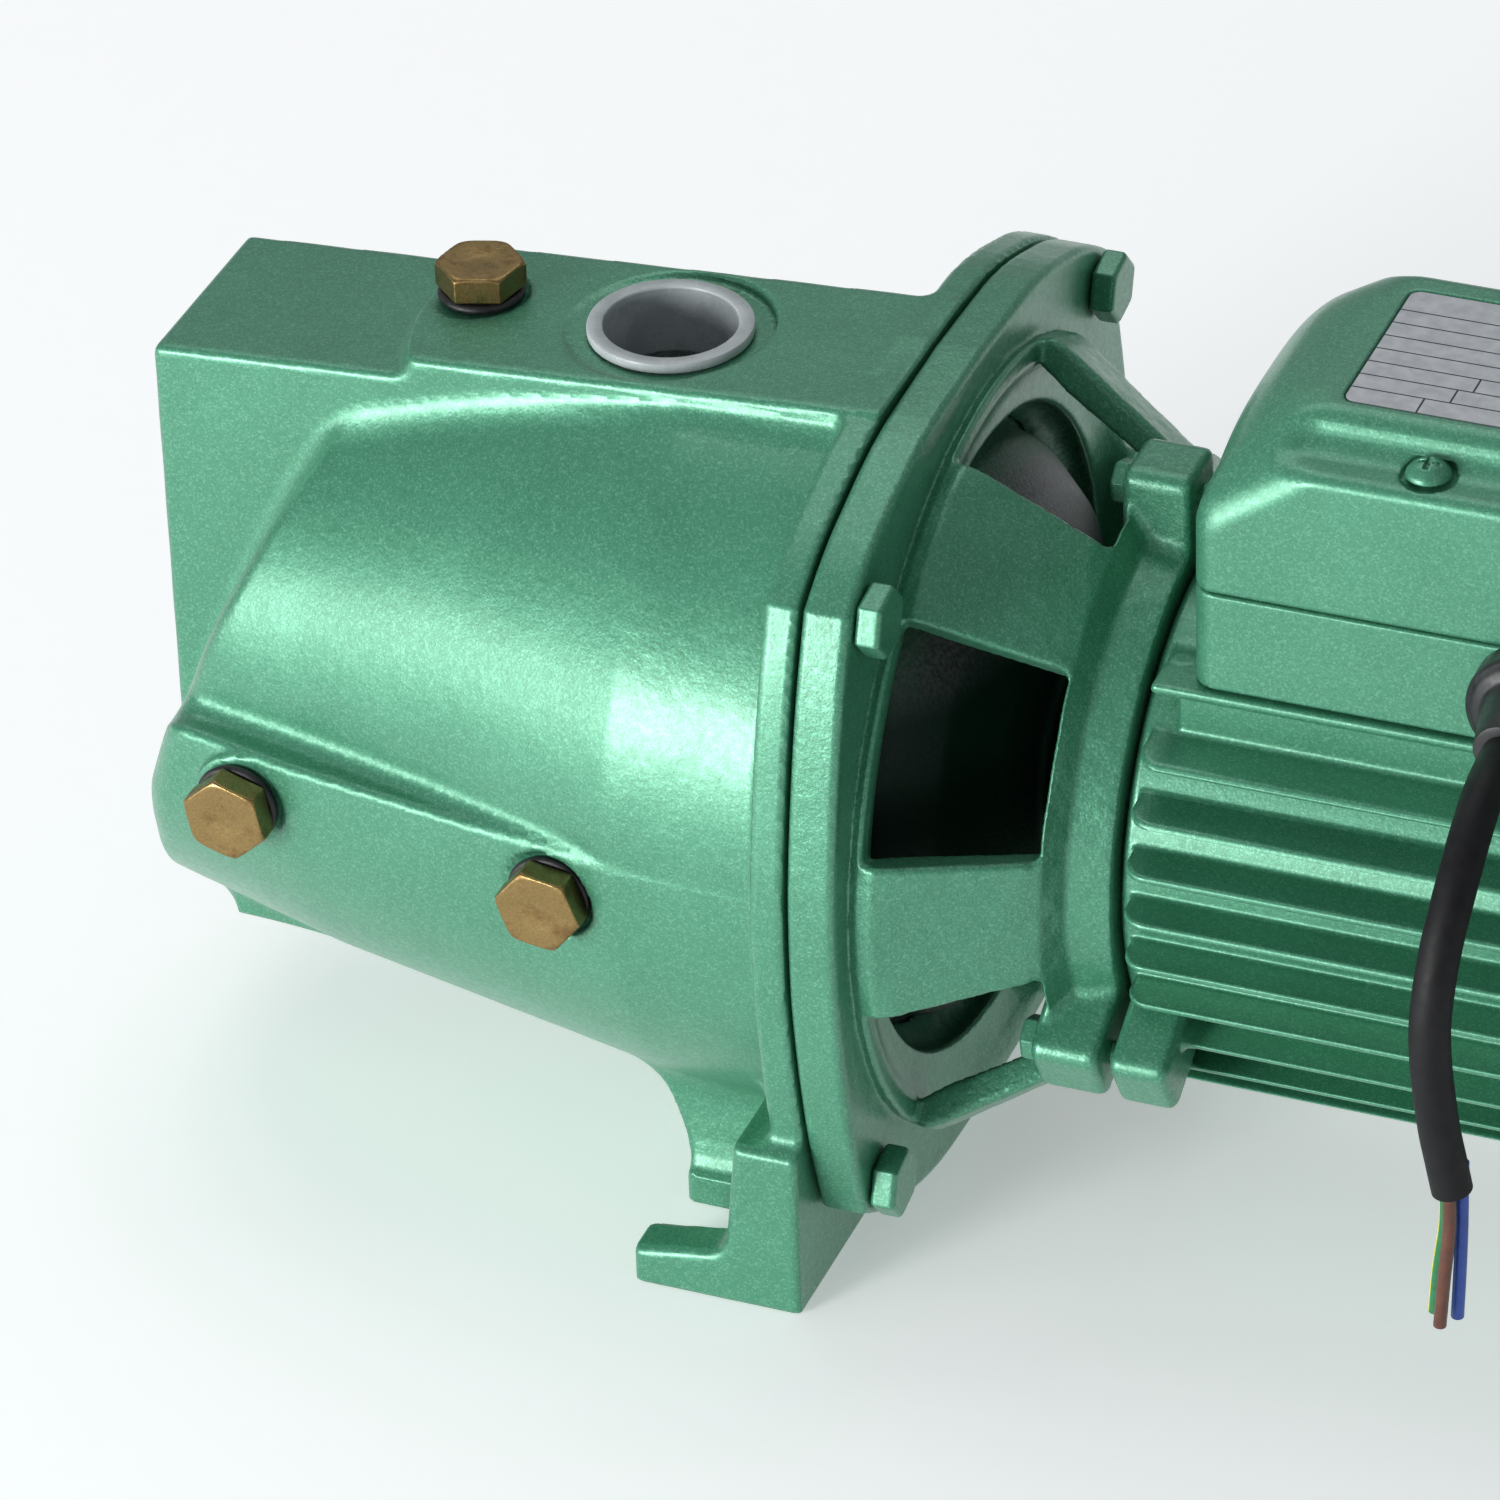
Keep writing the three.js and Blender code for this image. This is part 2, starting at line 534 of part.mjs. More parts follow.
add('stator_core', ring(STACK[0], STACK[1], 27, FRAME_BORE - GAP, 24), LAMINATION());
const coil = (x0, x1) => turned([[x0, 30], [x0, 40], [x0 + 3, 43], [x1 - 3, 43], [x1, 40], [x1, 30],
  [x0, 30]], 20);
add('winding_front', coil(STACK[0] - 20, STACK[0] - GAP), COPPER());
add('winding_rear', coil(STACK[1] + GAP, STACK[1] + 20), COPPER());
add('rotor_core', ring(STACK[0] - 4, STACK[1] + 4, 11.3, 26.6, 26), LAMINATION());

function bearingOuter(x) {
  const { outer, width } = BEARING;
  return turned([[x, outer - 3], [x, outer - 0.05], [x + width, outer - 0.05], [x + width, outer - 3],
    [x + width - 3, outer - 4], [x + 3, outer - 4], [x, outer - 3]], 20);
}
function bearingInner(x) {
  const { bore, outer, width } = BEARING;
  return turned([[x + 0.3, bore + 0.05], [x + 0.3, bore + 4], [x + 3, outer - 4.6], [x + width - 3, outer - 4.6],
    [x + width - 0.3, bore + 4], [x + width - 0.3, bore + 0.05], [x + 0.3, bore + 0.05]], 20);
}
for (const [name, x] of [['front', FRONT_BEARING_X], ['rear', REAR_BEARING_X]]) {
  add(`${name}_bearing_outer`, bearingOuter(x), STEEL());
  add(`${name}_bearing_inner`, bearingInner(x), STEEL());
}

function rearShield() {
  const plate = ring(FRAME_END + GAP, 191, 14, RING_R + 0.5, 24);
  const spigot = ring(183, FRAME_END + 1, 42, FRAME_BORE - GAP, 24);
  const seat = ring(REAR_BEARING_X - 0.5, FRAME_END + 1, BEARING.outer + 0.05, HUB_R, 20);
  const ears = TIE_ANGLES.map((angle) => lug(angle, FRAME_END + GAP, 193, 50));
  const ties = TIE_ANGLES.map((a) => around(rod(180, 200, 2.8, 10).translate([0, TIE_R, 0]), a));
  return cut(join(plate, spigot, seat, ...ears), ...ties);
}
add('rear_shield', rearShield(), GREEN());

function fan() {
  const hub = ring(196, 212, 6.55, 12, 20);
  const disc = ring(196, 198, 10, 40, 20);
  const blades = [];
  for (let i = 0; i < 8; i++) blades.push(around(box(197, 212, 11, 48, -0.9, 0.9), 45 * i));
  return join(hub, disc, ...blades);
}
add('fan', fan(), PLASTIC());

function fanCover() {
  const outside = [[192, COVER_R + 1], [226, COVER_R + 1], [COVER_END - 3, COVER_R - 5], [COVER_END, COVER_R - 14]];
  const inside = [[COVER_END - 2, 0], [COVER_END - 2, COVER_R - 14.6], [225, COVER_R - 1], [192, COVER_R - 1]];
  const dome = turned([...outside, [COVER_END, 0], ...inside, outside[0]], 24);
  const slots = [];
  for (const r of [14, 24, 34]) {
    for (let i = 0; i < 6; i++) slots.push(sector(60 * i + 30, 24, r, r + 5, 228, 240));
  }
  const ears = TIE_ANGLES.map((a) => around(box(191, 202, 57, 73, -9.5, 9.5), a));
  return cut(dome, ...slots, ...ears);
}
add('fan_cover', fanCover(), PLASTIC());

// ---------------------------------------------------------------- terminal box
const boxPlan = (inset) => roundedRect(BOX_X[0] + inset, BOX_X[1] - inset, -BOX_HALF_Y + inset,
  BOX_HALF_Y - inset, 5 - inset / 2);

function terminalBase() {
  const shell = cut(prismZ(boxPlan(0), BOX_FOOT, BOX_SPLIT, 4), prismZ(boxPlan(3), BOX_FLOOR, 80, 3));
  const glandHole = aimed(rod(-20, 20, 8.2, 14), TO_FRONT, GLAND.x, -BOX_HALF_Y, GLAND.z);
  const posts = [-1, 1].map((side) => box(BOX_MID - 4, BOX_MID + 4, side * 33 - 4, side * 33 + 4,
    BOX_FLOOR - 1, BOX_SPLIT));
  const pilots = [-1, 1].map((side) => rod(-16, 6, 2.1, 12).transform([...TO_UP.elements])
    .translate([BOX_MID, side * 33, BOX_SPLIT]));
  const saddle = rod(0, 200, FRAME_R + 0.4, 24);
  return cut(join(shell, ...posts), saddle, glandHole, box(105, 125, -10, 10, 40, 60), ...pilots);
}
add('terminal_base', terminalBase(), GREEN());

function coverHull(inset) {
  const [x0, x1] = [BOX_X[0] + inset, BOX_X[1] - inset];
  const top = BOX_TOP - inset;
  const side = shapeOf([[x0, BOX_SPLIT + 0.2], [x1, BOX_SPLIT + 0.2], [x1, 86], [x1 - 3.5, 95 - inset],
    [x1 - 20, top], [x0 + 20, top], [x0 + 3.5, 95 - inset], [x0, 86]]);
  const y = BOX_HALF_Y - inset;
  const end = shapeOf([[-y, BOX_SPLIT + 0.2], [y, BOX_SPLIT + 0.2], [y, 86], [y - 4, 96 - inset],
    [y - 13, top], [13 - y, top], [4 - y, 96 - inset], [-y, 86]]);
  return prismY(side, -60, 60).intersect(prismX(end, 0, 200)).intersect(prismZ(boxPlan(inset), 60, 120, 4));
}

const SCREW_X = BOX_MID - 3;
const SCREW_Y = 32;
function terminalCover() {
  const inside = coverHull(2.5).translate([0, 0, -1]);
  const notches = [-1, 1].map((side) => prismZ(roundedRect(BOX_X[0] + 15, BOX_X[1] - 15,
    side < 0 ? -60 : BOX_HALF_Y - 15, side < 0 ? 15 - BOX_HALF_Y : 60, 4), BOX_LEDGE, 120, 3));
  const floors = [-1, 1].map((side) => box(BOX_X[0] + 13, BOX_X[1] - 13, side < 0 ? -38 : 22,
    side < 0 ? -22 : 38, BOX_LEDGE - 3, BOX_LEDGE));
  const holes = [-1, 1].map((side) => rod(-30, 20, 2.5, 12).transform([...TO_UP.elements])
    .translate([SCREW_X, side * SCREW_Y, BOX_LEDGE]));
  const plate = box(BOX_MID - 24, BOX_MID + 24, -21.8, 21.8, BOX_TOP - 0.8, BOX_TOP + 1);
  const hollow = cut(inside, ...floors, box(BOX_MID - 30, BOX_MID + 30, -24, 24, BOX_TOP - 3.4, BOX_TOP));
  return cut(coverHull(0), hollow, ...notches, ...holes, plate);
}
add('terminal_cover', terminalCover(), GREEN());

for (const [i, side] of [-1, 1].entries()) {
  const head = turned([[GAP, 0], [GAP, 4.6], [2, 4.2], [3.4, 2.4], [3.6, 0]], 14);
  const screw = cut(join(head, rod(-26, 1, 1.9, 12)), box(2.2, 5, -2.4, 2.4, -0.5, 0.5),
    box(2.2, 5, -0.5, 0.5, -2.4, 2.4));
  add(`cover_screw_${i + 1}`, aimed(screw, TO_UP, SCREW_X, side * SCREW_Y, BOX_LEDGE), STEEL());
}

add('nameplate', box(BOX_MID - 23.6, BOX_MID + 23.6, -21.4, 21.4, BOX_TOP - 0.5, BOX_TOP - 0.1), STEEL());
add('terminal_block', cut(box(74, 92, -16, 16, BOX_FLOOR + GAP, 70), box(70, 80, -20, 20, 63, 75)), PLASTIC());
add('capacitor', rod(98, 152, 13, 20).translate([0, 10, 80]), PLASTIC());

// ---------------------------------------------------------------- mains lead
function gland() {
  const out = -BOX_HALF_Y - GLAND.end;
  return turned([[-5, 0], [-5, 7.8], [GAP, 7.8], [GAP, GLAND.r], [7, GLAND.r], [8, GLAND.r - 1.5],
    [9, 8], [out, 6], [out, 0]], 20);
}
add('cable_gland', aimed(gland(), TO_FRONT, GLAND.x, -BOX_HALF_Y, GLAND.z), PLASTIC());

const LEAD_ROUTE = [[136, -60.8, 58.3], [136.1, -66.5, 58.3], [136.4, -74.2, 57.5], [136.8, -81.5, 55.1],
  [137, -88.2, 51.2], [136.9, -94, 46.1], [136.5, -98.5, 39.8], [136.2, -101.7, 32.7], [136, -103.3, 25.2],
  [136.3, -103.6, 17], [137.1, -103.5, 9], [138.1, -103.2, 1], [139.3, -102.7, -6], [140.4, -102.2, -12.5]];
add('lead', tubeAlong(LEAD_ROUTE, LEAD_R, 10, 9), RUBBER());

const CORES = [['core_earth', 0x8fa52c, -1.6, 1.2], ['core_neutral', 0x2a57a5, 1.7, 1.0],
  ['core_live', 0x6b3d26, 0.1, -1.8]];
for (const [name, color, dx, dy] of CORES) {
  const [x, y, z] = LEAD_ROUTE.at(-1);
  const route = [[x + dx, y + dy, z - 0.9], [x + dx, y + dy, z - 9], [x - 0.8 + 1.3 * dx, y + 1.2 * dy, z - 20],
    [x - 1.6 + 1.4 * dx, y + 0.7 + 1.4 * dy, z - 31]];
  add(name, tubeAlong(route, CORE_R, 8, 4), paint(color, 0.5, 0));
}

export default pump;
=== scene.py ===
"""Shallow well jet pump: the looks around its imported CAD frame.

Castings are drawn as signed distances in the axis frame, in millimetres: X along the shaft towards the
motor, Z up, origin on the shaft axis in the joint between the pump body and the bracket.
"""
import math

import bmesh
import bpy
import numpy as np
from mathutils import Matrix, Vector


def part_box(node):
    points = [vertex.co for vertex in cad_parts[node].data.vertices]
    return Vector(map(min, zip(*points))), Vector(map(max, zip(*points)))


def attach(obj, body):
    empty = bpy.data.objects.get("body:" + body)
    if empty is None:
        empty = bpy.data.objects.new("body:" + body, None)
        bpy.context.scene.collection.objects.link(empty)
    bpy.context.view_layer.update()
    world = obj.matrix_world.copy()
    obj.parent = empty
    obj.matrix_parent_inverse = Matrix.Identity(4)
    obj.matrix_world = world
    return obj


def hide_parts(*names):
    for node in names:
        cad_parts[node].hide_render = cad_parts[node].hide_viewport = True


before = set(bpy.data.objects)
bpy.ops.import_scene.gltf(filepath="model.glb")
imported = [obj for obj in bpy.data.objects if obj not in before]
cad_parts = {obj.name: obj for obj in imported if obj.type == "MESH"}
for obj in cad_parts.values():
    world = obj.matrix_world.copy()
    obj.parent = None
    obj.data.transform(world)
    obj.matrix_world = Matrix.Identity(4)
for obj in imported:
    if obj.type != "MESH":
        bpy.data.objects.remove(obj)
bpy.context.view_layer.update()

MM = 0.001
SHAFT_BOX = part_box("shaft")
BRACKET_FACE = 0.4  # from the joint to the bracket's face
ORIGIN = Vector((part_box("bracket")[0].x - BRACKET_FACE * MM, 0, (SHAFT_BOX[0].z + SHAFT_BOX[1].z) / 2))
AXIS_HEIGHT = ORIGIN.z / MM


def in_frame(x, y, z):
    """A point of the axis frame, in the row frame's metres."""
    return ORIGIN + Vector((x, y, z)) * MM


# ---------------------------------------------------------------- camera, lights, floor
CAMERA_TURN = math.radians(22.684)
CAMERA_RISE = math.radians(33.418)
CAMERA_ROLL = math.radians(-2.077)
CAMERA_PLACE = (559.79, -1439.58, 1012.88)
LENS = 220.975


def make_camera():
    data = bpy.data.cameras.new("camera")
    data.lens = LENS
    data.sensor_width = 36
    data.clip_end = 50
    camera = bpy.data.objects.new("camera", data)
    bpy.context.scene.collection.objects.link(camera)
    back = Vector((math.sin(CAMERA_TURN) * math.cos(CAMERA_RISE),
                   -math.cos(CAMERA_TURN) * math.cos(CAMERA_RISE), math.sin(CAMERA_RISE)))
    level = Vector((math.cos(CAMERA_TURN), math.sin(CAMERA_TURN), 0))
    upright = level.cross(-back)
    right = level * math.cos(CAMERA_ROLL) + upright * math.sin(CAMERA_ROLL)
    up = upright * math.cos(CAMERA_ROLL) - level * math.sin(CAMERA_ROLL)
    turn = Matrix((right, up, back)).transposed().to_4x4()
    camera.matrix_world = Matrix.Translation(in_frame(*CAMERA_PLACE)) @ turn
    bpy.context.scene.camera = camera


def area_light(name, place, aim, width, height, power, tint=(1, 1, 1)):
    data = bpy.data.lights.new(name, "AREA")
    data.shape = "RECTANGLE"
    data.size = width
    data.size_y = height
    data.energy = power
    data.color = tint
    lamp = bpy.data.objects.new(name, data)
    bpy.context.scene.collection.objects.link(lamp)
    lamp.location = place
    lamp.rotation_euler = (Vector(aim) - Vector(place)).to_track_quat("-Z", "Y").to_euler()
    lamp.visible_camera = False


def make_lights():
    aim = (-0.02, 0, 0.09)
    area_light("key", (-0.95, -1.75, 0.44), aim, 0.5, 0.6, 21)
    area_light("front_fill", (-1.3, -1.9, 0.35), aim, 2.2, 0.7, 26)
    area_light("back_top", (-0.5, 0.9, 2.0), aim, 1.8, 1.6, 11)
    world = bpy.data.worlds.new("studio")
    world.use_nodes = True
    world.node_tree.nodes["Background"].inputs["Color"].default_value = (0.93, 0.97, 1, 1)
    world.node_tree.nodes["Background"].inputs["Strength"].default_value = 0.33
    bpy.context.scene.world = world
    bpy.context.scene.view_settings.view_transform = "Standard"


def make_floor():
    size = 6
    mesh = bpy.data.meshes.new("floor")
    corners = [(-size, -size, 0), (size, -size, 0), (size, size, 0), (-size, size, 0)]
    mesh.from_pydata(corners, [], [(0, 1, 2, 3)])
    floor = bpy.data.objects.new("floor", mesh)
    bpy.context.scene.collection.objects.link(floor)
    floor.data.materials.append(floor_paper())


# ---------------------------------------------------------------- materials
class Look:
    """A material being wired up, from a Principled shader and noise in object space."""

    def __init__(self, name):
        self.material = bpy.data.materials.new(name)
        self.material.use_nodes = True
        self.tree = self.material.node_tree
        self.shader = self.tree.nodes["Principled BSDF"]
        self.place = self.node("ShaderNodeTexCoord").outputs["Object"]

    def node(self, kind, **values):
        made = self.tree.nodes.new(kind)
        for key, value in values.items():
            setattr(made, key, value)
        return made

    def wire(self, source, target):
        self.tree.links.new(source, target)

    def set(self, **values):
        for key, value in values.items():
            self.shader.inputs[key.replace("_", " ")].default_value = value
        return self

    def noise(self, grain, detail=3, rough=0.5, place=None):
        """Noise whose features measure about grain millimetres."""
        made = self.node("ShaderNodeTexNoise")
        made.inputs["Scale"].default_value = 1 / (grain * MM)
        made.inputs["Detail"].default_value = detail
        made.inputs["Roughness"].default_value = rough
        self.wire(place or self.place, made.inputs["Vector"])
        return made.outputs["Fac"]

    def flakes(self, grain):
        """A random value for each cell of about grain millimetres."""
        made = self.node("ShaderNodeTexVoronoi")
        made.inputs["Scale"].default_value = 1 / (grain * MM)
        self.wire(self.place, made.inputs["Vector"])
        split = self.node("ShaderNodeSeparateColor")
        self.wire(made.outputs["Color"], split.inputs["Color"])
        return split.outputs["Red"], split.outputs["Green"]

    def spread(self, source, low, high, out_low, out_high):
        made = self.node("ShaderNodeMapRange")
        for key, value in zip(("From Min", "From Max", "To Min", "To Max"), (low, high, out_low, out_high)):
            made.inputs[key].default_value = value
        self.wire(source, made.inputs["Value"])
        return made.outputs["Result"]

    def mix(self, share, first, second):
        made = self.node("ShaderNodeMix", data_type="RGBA")
        self.wire(share, made.inputs["Factor"])
        for value, socket in ((first, made.inputs["A"]), (second, made.inputs["B"])):
            if isinstance(value, tuple):
                socket.default_value = (*value, 1)
            else:
                self.wire(value, socket)
        return made.outputs["Result"]

    def coordinates(self):
        made = self.node("ShaderNodeSeparateXYZ")
        self.wire(self.place, made.inputs["Vector"])
        return made.outputs["X"], made.outputs["Y"], made.outputs["Z"]

    def maths(self, operation, first, second):
        made = self.node("ShaderNodeMath", operation=operation)
        for value, socket in zip((first, second), made.inputs):
            if isinstance(value, (int, float)):
                socket.default_value = value
            else:
                self.wire(value, socket)
        return made.outputs["Value"]

    def bump(self, height, depth, after=None):
        """Adds a bump of depth millimetres; after is the bump below it."""
        made = self.node("ShaderNodeBump")
        made.inputs["Strength"].default_value = 1
        made.inputs["Distance"].default_value = depth * MM
        self.wire(height, made.inputs["Height"])
        if after is not None:
            self.wire(after, made.inputs["Normal"])
        self.wire(made.outputs["Normal"], self.shader.inputs["Normal"])
        return made.outputs["Normal"]

    def colour(self, source):
        self.wire(source, self.shader.inputs["Base Color"])

    def roughness(self, source):
        self.wire(source, self.shader.inputs["Roughness"])


def green_paint(name, cast_depth, peel_depth):
    """Metallic green enamel over a casting: flakes with painted glints, orange peel and the sand texture
    below it.
    """
    look = Look(name)
    first, second = look.flakes(0.34)
    cloud = look.noise(22, 2)
    base = look.mix(look.spread(cloud, 0.35, 0.65, 0, 1), (0.054, 0.252, 0.145), (0.061, 0.274, 0.160))
    # painted glints: a share of the flake cells is mixed towards a light green
    light = look.mix(look.spread(first, 0.6, 1, 0, 0.34), base, (0.24, 0.56, 0.40))
    dark = look.mix(look.spread(second, 0.7, 1, 0, 0.35), light, (0.022, 0.13, 0.07))
    look.colour(dark)
    look.set(Metallic=0.42, Coat_Weight=0.55, Coat_Roughness=0.27)
    look.roughness(look.spread(look.noise(1.6, 3), 0.3, 0.7, 0.36, 0.48))
    below = look.bump(look.noise(5.5, 2), cast_depth)
    middle = look.bump(look.noise(1.8, 2), peel_depth, below)
    look.bump(look.noise(0.62, 2), peel_depth * 0.7, middle)
    return look.material


def bronze():
    look = Look("bronze")
    patches = look.noise(5, 4, 0.6)
    fine = look.noise(0.5, 3)
    clean = look.mix(look.spread(fine, 0.3, 0.7, 0, 1), (0.25, 0.165, 0.062), (0.33, 0.235, 0.10))
    look.colour(look.mix(look.spread(patches, 0.5, 0.72, 0, 0.8), clean, (0.12, 0.06, 0.022)))
    look.set(Metallic=0.95)
    look.roughness(look.spread(patches, 0.35, 0.7, 0.26, 0.5))
    look.bump(look.noise(0.35, 2), 0.03, look.bump(look.noise(2.5, 2), 0.08))
    return look.material


def cap_plastic(name, dark, light, clear):
    """Polyethylene: milky in the thick rim, nearly clear in the thin cup."""
    look = Look(name)
    haze = look.noise(6, 3)
    look.colour(look.mix(look.spread(haze, 0.35, 0.65, 0, 1), dark, light))
    look.set(Metallic=0, Transmission_Weight=clear, IOR=1.35)
    look.roughness(look.spread(haze, 0.3, 0.7, 0.2, 0.34))
    look.bump(look.noise(1.4, 2), 0.03)
    return look.material


def dull(name, dark, light, grain, low, high, depth, shine=0.5):
    """Rubber, plastic or ceramic: two shades and a bump of that grain."""
    look = Look(name)
    look.colour(look.mix(look.spread(look.noise(grain * 4, 3), 0.35, 0.65, 0, 1), dark, light))
    look.set(Metallic=0, Specular_IOR_Level=shine)
    look.roughness(look.spread(look.noise(grain * 2, 2), 0.3, 0.7, low, high))
    look.bump(look.noise(grain, 3), depth)
    return look.material


def turned_metal(name, dark, light, low, high):
    """Metal with fine rings round the shaft axis, as a lathe leaves them."""
    look = Look(name)
    x, y, z = look.coordinates()
    stretched = look.node("ShaderNodeCombineXYZ")
    look.wire(look.maths("MULTIPLY", x, 12), stretched.inputs["X"])
    look.wire(y, stretched.inputs["Y"])
    look.wire(z, stretched.inputs["Z"])
    rings = look.noise(3, 3, place=stretched.outputs["Vector"])
    look.colour(look.mix(look.spread(rings, 0.3, 0.7, 0, 1), dark, light))
    look.set(Metallic=1)
    look.roughness(look.spread(rings, 0.3, 0.7, low, high))
    look.bump(rings, 0.02)
    return look.material


def blasted_plate():
    """The grey seal plate: green overspray near the flange, and painted shade low down."""
    look = Look("blasted_plate")
    grit = look.noise(0.9, 4, 0.65)
    grey = look.mix(look.spread(grit, 0.35, 0.65, 0, 1), (0.07, 0.072, 0.075), (0.24, 0.245, 0.25))
    x, _, z = look.coordinates()
    depth = look.spread(x, ORIGIN.x + 4 * MM, ORIGIN.x + 15 * MM, 1, 0)
    mist = look.maths("MULTIPLY", depth, look.spread(look.noise(4, 4), 0.3, 0.6, 0.4, 1))
    green = look.mix(mist, grey, (0.03, 0.2, 0.1))
    # painted shade: below 30 to 48 mm above the shaft the plate is mixed to near black-green, where it lies
    # in shadow
    low = look.spread(z, ORIGIN.z + 30 * MM, ORIGIN.z + 48 * MM, 1, 0)
    look.colour(look.mix(low, green, (0.004, 0.02, 0.012)))
    look.set(Metallic=0.55)
    look.roughness(look.spread(grit, 0.3, 0.7, 0.35, 0.6))
    look.bump(grit, 0.16)
    return look.material


def laminations():
    """Steel sheets half a millimetre thick, stacked along the shaft."""
    look = Look("laminations")
    sheets = look.maths("FRACT", look.maths("MULTIPLY", look.coordinates()[0], 1 / (0.5 * MM)), 0)
    look.colour(look.mix(look.spread(sheets, 0.75, 0.9, 0, 1), (0.22, 0.23, 0.26), (0.06, 0.06, 0.07)))
    look.set(Metallic=0.85)
    look.roughness(look.spread(look.noise(2, 3), 0.3, 0.7, 0.35, 0.55))
    look.bump(sheets, 0.03)
    return look.material


def copper_wire():
    look = Look("copper_wire")
    around = look.node("ShaderNodeTexWave", wave_type="RINGS", rings_direction="X")
    around.inputs["Scale"].default_value = 1 / (4.5 * MM)
    around.inputs["Distortion"].default_value = 1.5
    look.wire(look.place, around.inputs["Vector"])
    look.colour(look.mix(around.outputs["Fac"], (0.20, 0.05, 0.02), (0.62, 0.22, 0.09)))
    look.set(Metallic=0.8, Coat_Weight=0.5)
    look.roughness(look.spread(look.noise(3, 2), 0.3, 0.7, 0.25, 0.4))
    look.bump(around.outputs["Fac"], 0.25)
    return look.material


PLATE_HALF = (23.6, 21.4)
PLATE_ROW = 5
# upright rules between the rows: where along the plate, the first row, the row it ends at
PLATE_BARS = [(-9, 0, 1), (-4, 1, 2), (-1, 2, 3), (8, 1, 3)]


def nameplate_print(middle):
    """Brushed aluminium with plain ruled lines, and nothing written."""
    look = Look("nameplate_print")
    along, across, _ = look.coordinates()
    foot_edge = -PLATE_HALF[1]
    row = look.maths("DIVIDE", look.maths("SUBTRACT", across, foot_edge * MM), PLATE_ROW * MM)
    rules = look.maths("LESS_THAN", look.maths("FRACT", row, 0), 0.075)
    from_middle = look.maths("ABSOLUTE", look.maths("SUBTRACT", across, -2.4 * MM), 0)
    inside = look.maths("LESS_THAN", from_middle, 18 * MM)
    ink = look.maths("MULTIPLY", rules, inside)
    for place, first, last in PLATE_BARS:
        near = look.maths("ABSOLUTE", look.maths("SUBTRACT", along, middle + place * MM), 0)
        bar = look.maths("LESS_THAN", near, 0.2 * MM)
        above = look.maths("GREATER_THAN", across, (foot_edge + first * PLATE_ROW) * MM)
        below = look.maths("LESS_THAN", across, (foot_edge + last * PLATE_ROW) * MM)
        ink = look.maths("MAXIMUM", ink, look.maths("MULTIPLY", bar, look.maths("MULTIPLY", above, below)))
    brushed = look.noise(3, 3)
    silver = look.mix(look.spread(brushed, 0.35, 0.65, 0, 1), (0.46, 0.48, 0.51), (0.56, 0.58, 0.60))
    look.colour(look.mix(ink, silver, (0.03, 0.035, 0.05)))
    look.set(Metallic=0.45)
    look.roughness(look.spread(look.noise(0.8, 2), 0.3, 0.7, 0.36, 0.5))
    look.bump(look.noise(0.6, 2), 0.012)
    return look.material


def floor_paper():
    look = Look("floor_paper")
    look.colour(look.mix(look.noise(8, 2), (0.92, 0.925, 0.925), (0.94, 0.945, 0.945)))
    look.set(Roughness=0.9, Emission_Color=(0.97, 0.985, 1, 1), Emission_Strength=0.34)
    return look.material


# ---------------------------------------------------------------- signed distances
def ticks(*stops):
    """Coordinates along an axis, from (start, step) pairs, each up to the next start, and a last start."""
    parts = []
    for (start, step), (end, _) in zip(stops, stops[1:]):
        parts.append(np.linspace(start, end, max(1, round((end - start) / step)), endpoint=False))
    return np.concatenate([*parts, [stops[-1][0]]]).astype(np.float32)


class Grid:
    def __init__(self, xs, ys, zs):
        self.axes = (xs, ys, zs)
        self.x = xs[:, None, None]
        self.y = ys[None, :, None]
        self.z = zs[None, None, :]
        self.radius = np.hypot(self.y, self.z)
        self.angle = np.degrees(np.arctan2(self.z, self.y))


def even_grid(low, high, step):
    return Grid(*(ticks((a, step), (b, 0)) for a, b in zip(low, high)))


def meet(a, b, r=0.0):
    """What is in both, with convex edges rounded to r."""
    if np.isscalar(r) and r == 0:
        return np.maximum(a, b)
    return np.hypot(np.maximum(a + r, 0), np.maximum(b + r, 0)) + np.minimum(np.maximum(a, b) + r, 0) - r


def fuse(a, b, r=0.0):
    """What is in either, with a fillet of r between them."""
    return -meet(-a, -b, r)


def carve(a, b, r=0.0):
    return meet(a, -b, r)


def slab(w, low, high):
    return np.maximum(low - w, w - high)


def block(g, x, y, z, r=0.0):
    return meet(meet(slab(g.x, *x), slab(g.y, *y), r), slab(g.z, *z), r)


def outline(u, v, points):
    """Distance to a polygon in the plane of u and v."""
    points = np.asarray(points, np.float32)
    nearest = np.full(np.broadcast(u, v).shape, 1e6, np.float32)
    inside = np.zeros(nearest.shape, bool)
    for (a, b), (c, d) in zip(points, np.roll(points, -1, 0)):
        du, dv = c - a, d - b
        share = np.clip(((u - a) * du + (v - b) * dv) / (du * du + dv * dv), 0, 1)
        nearest = np.minimum(nearest, np.hypot(u - a - share * du, v - b - share * dv))
        crosses = (v < b) != (v < d)
        inside ^= crosses & (u < a + (v - b) * du / (dv or 1))
    return np.where(inside, -nearest, nearest)


def rectangle(u, v, half_u, half_v, r):
    """Distance to a rectangle round the origin with corners of radius r."""
    return meet(abs(u) - half_u, abs(v) - half_v, r)


def eased(at, points, width):
    """A smooth curve of a value along an axis, through (along, value) pairs."""
    along, value = np.array(points, np.float32).T
    step = 0.5
    fine = np.arange(at.min() - width, at.max() + width, step)
    weight = np.hanning(int(width / step) | 1)
    smooth = np.convolve(np.interp(np.arange(fine[0] - width, fine[-1] + width, step), along, value),
                         weight / weight.sum(), "same")
    places = np.arange(fine[0] - width, fine[-1] + width, step)[:len(smooth)]
    return np.interp(at, places, smooth).astype(np.float32)


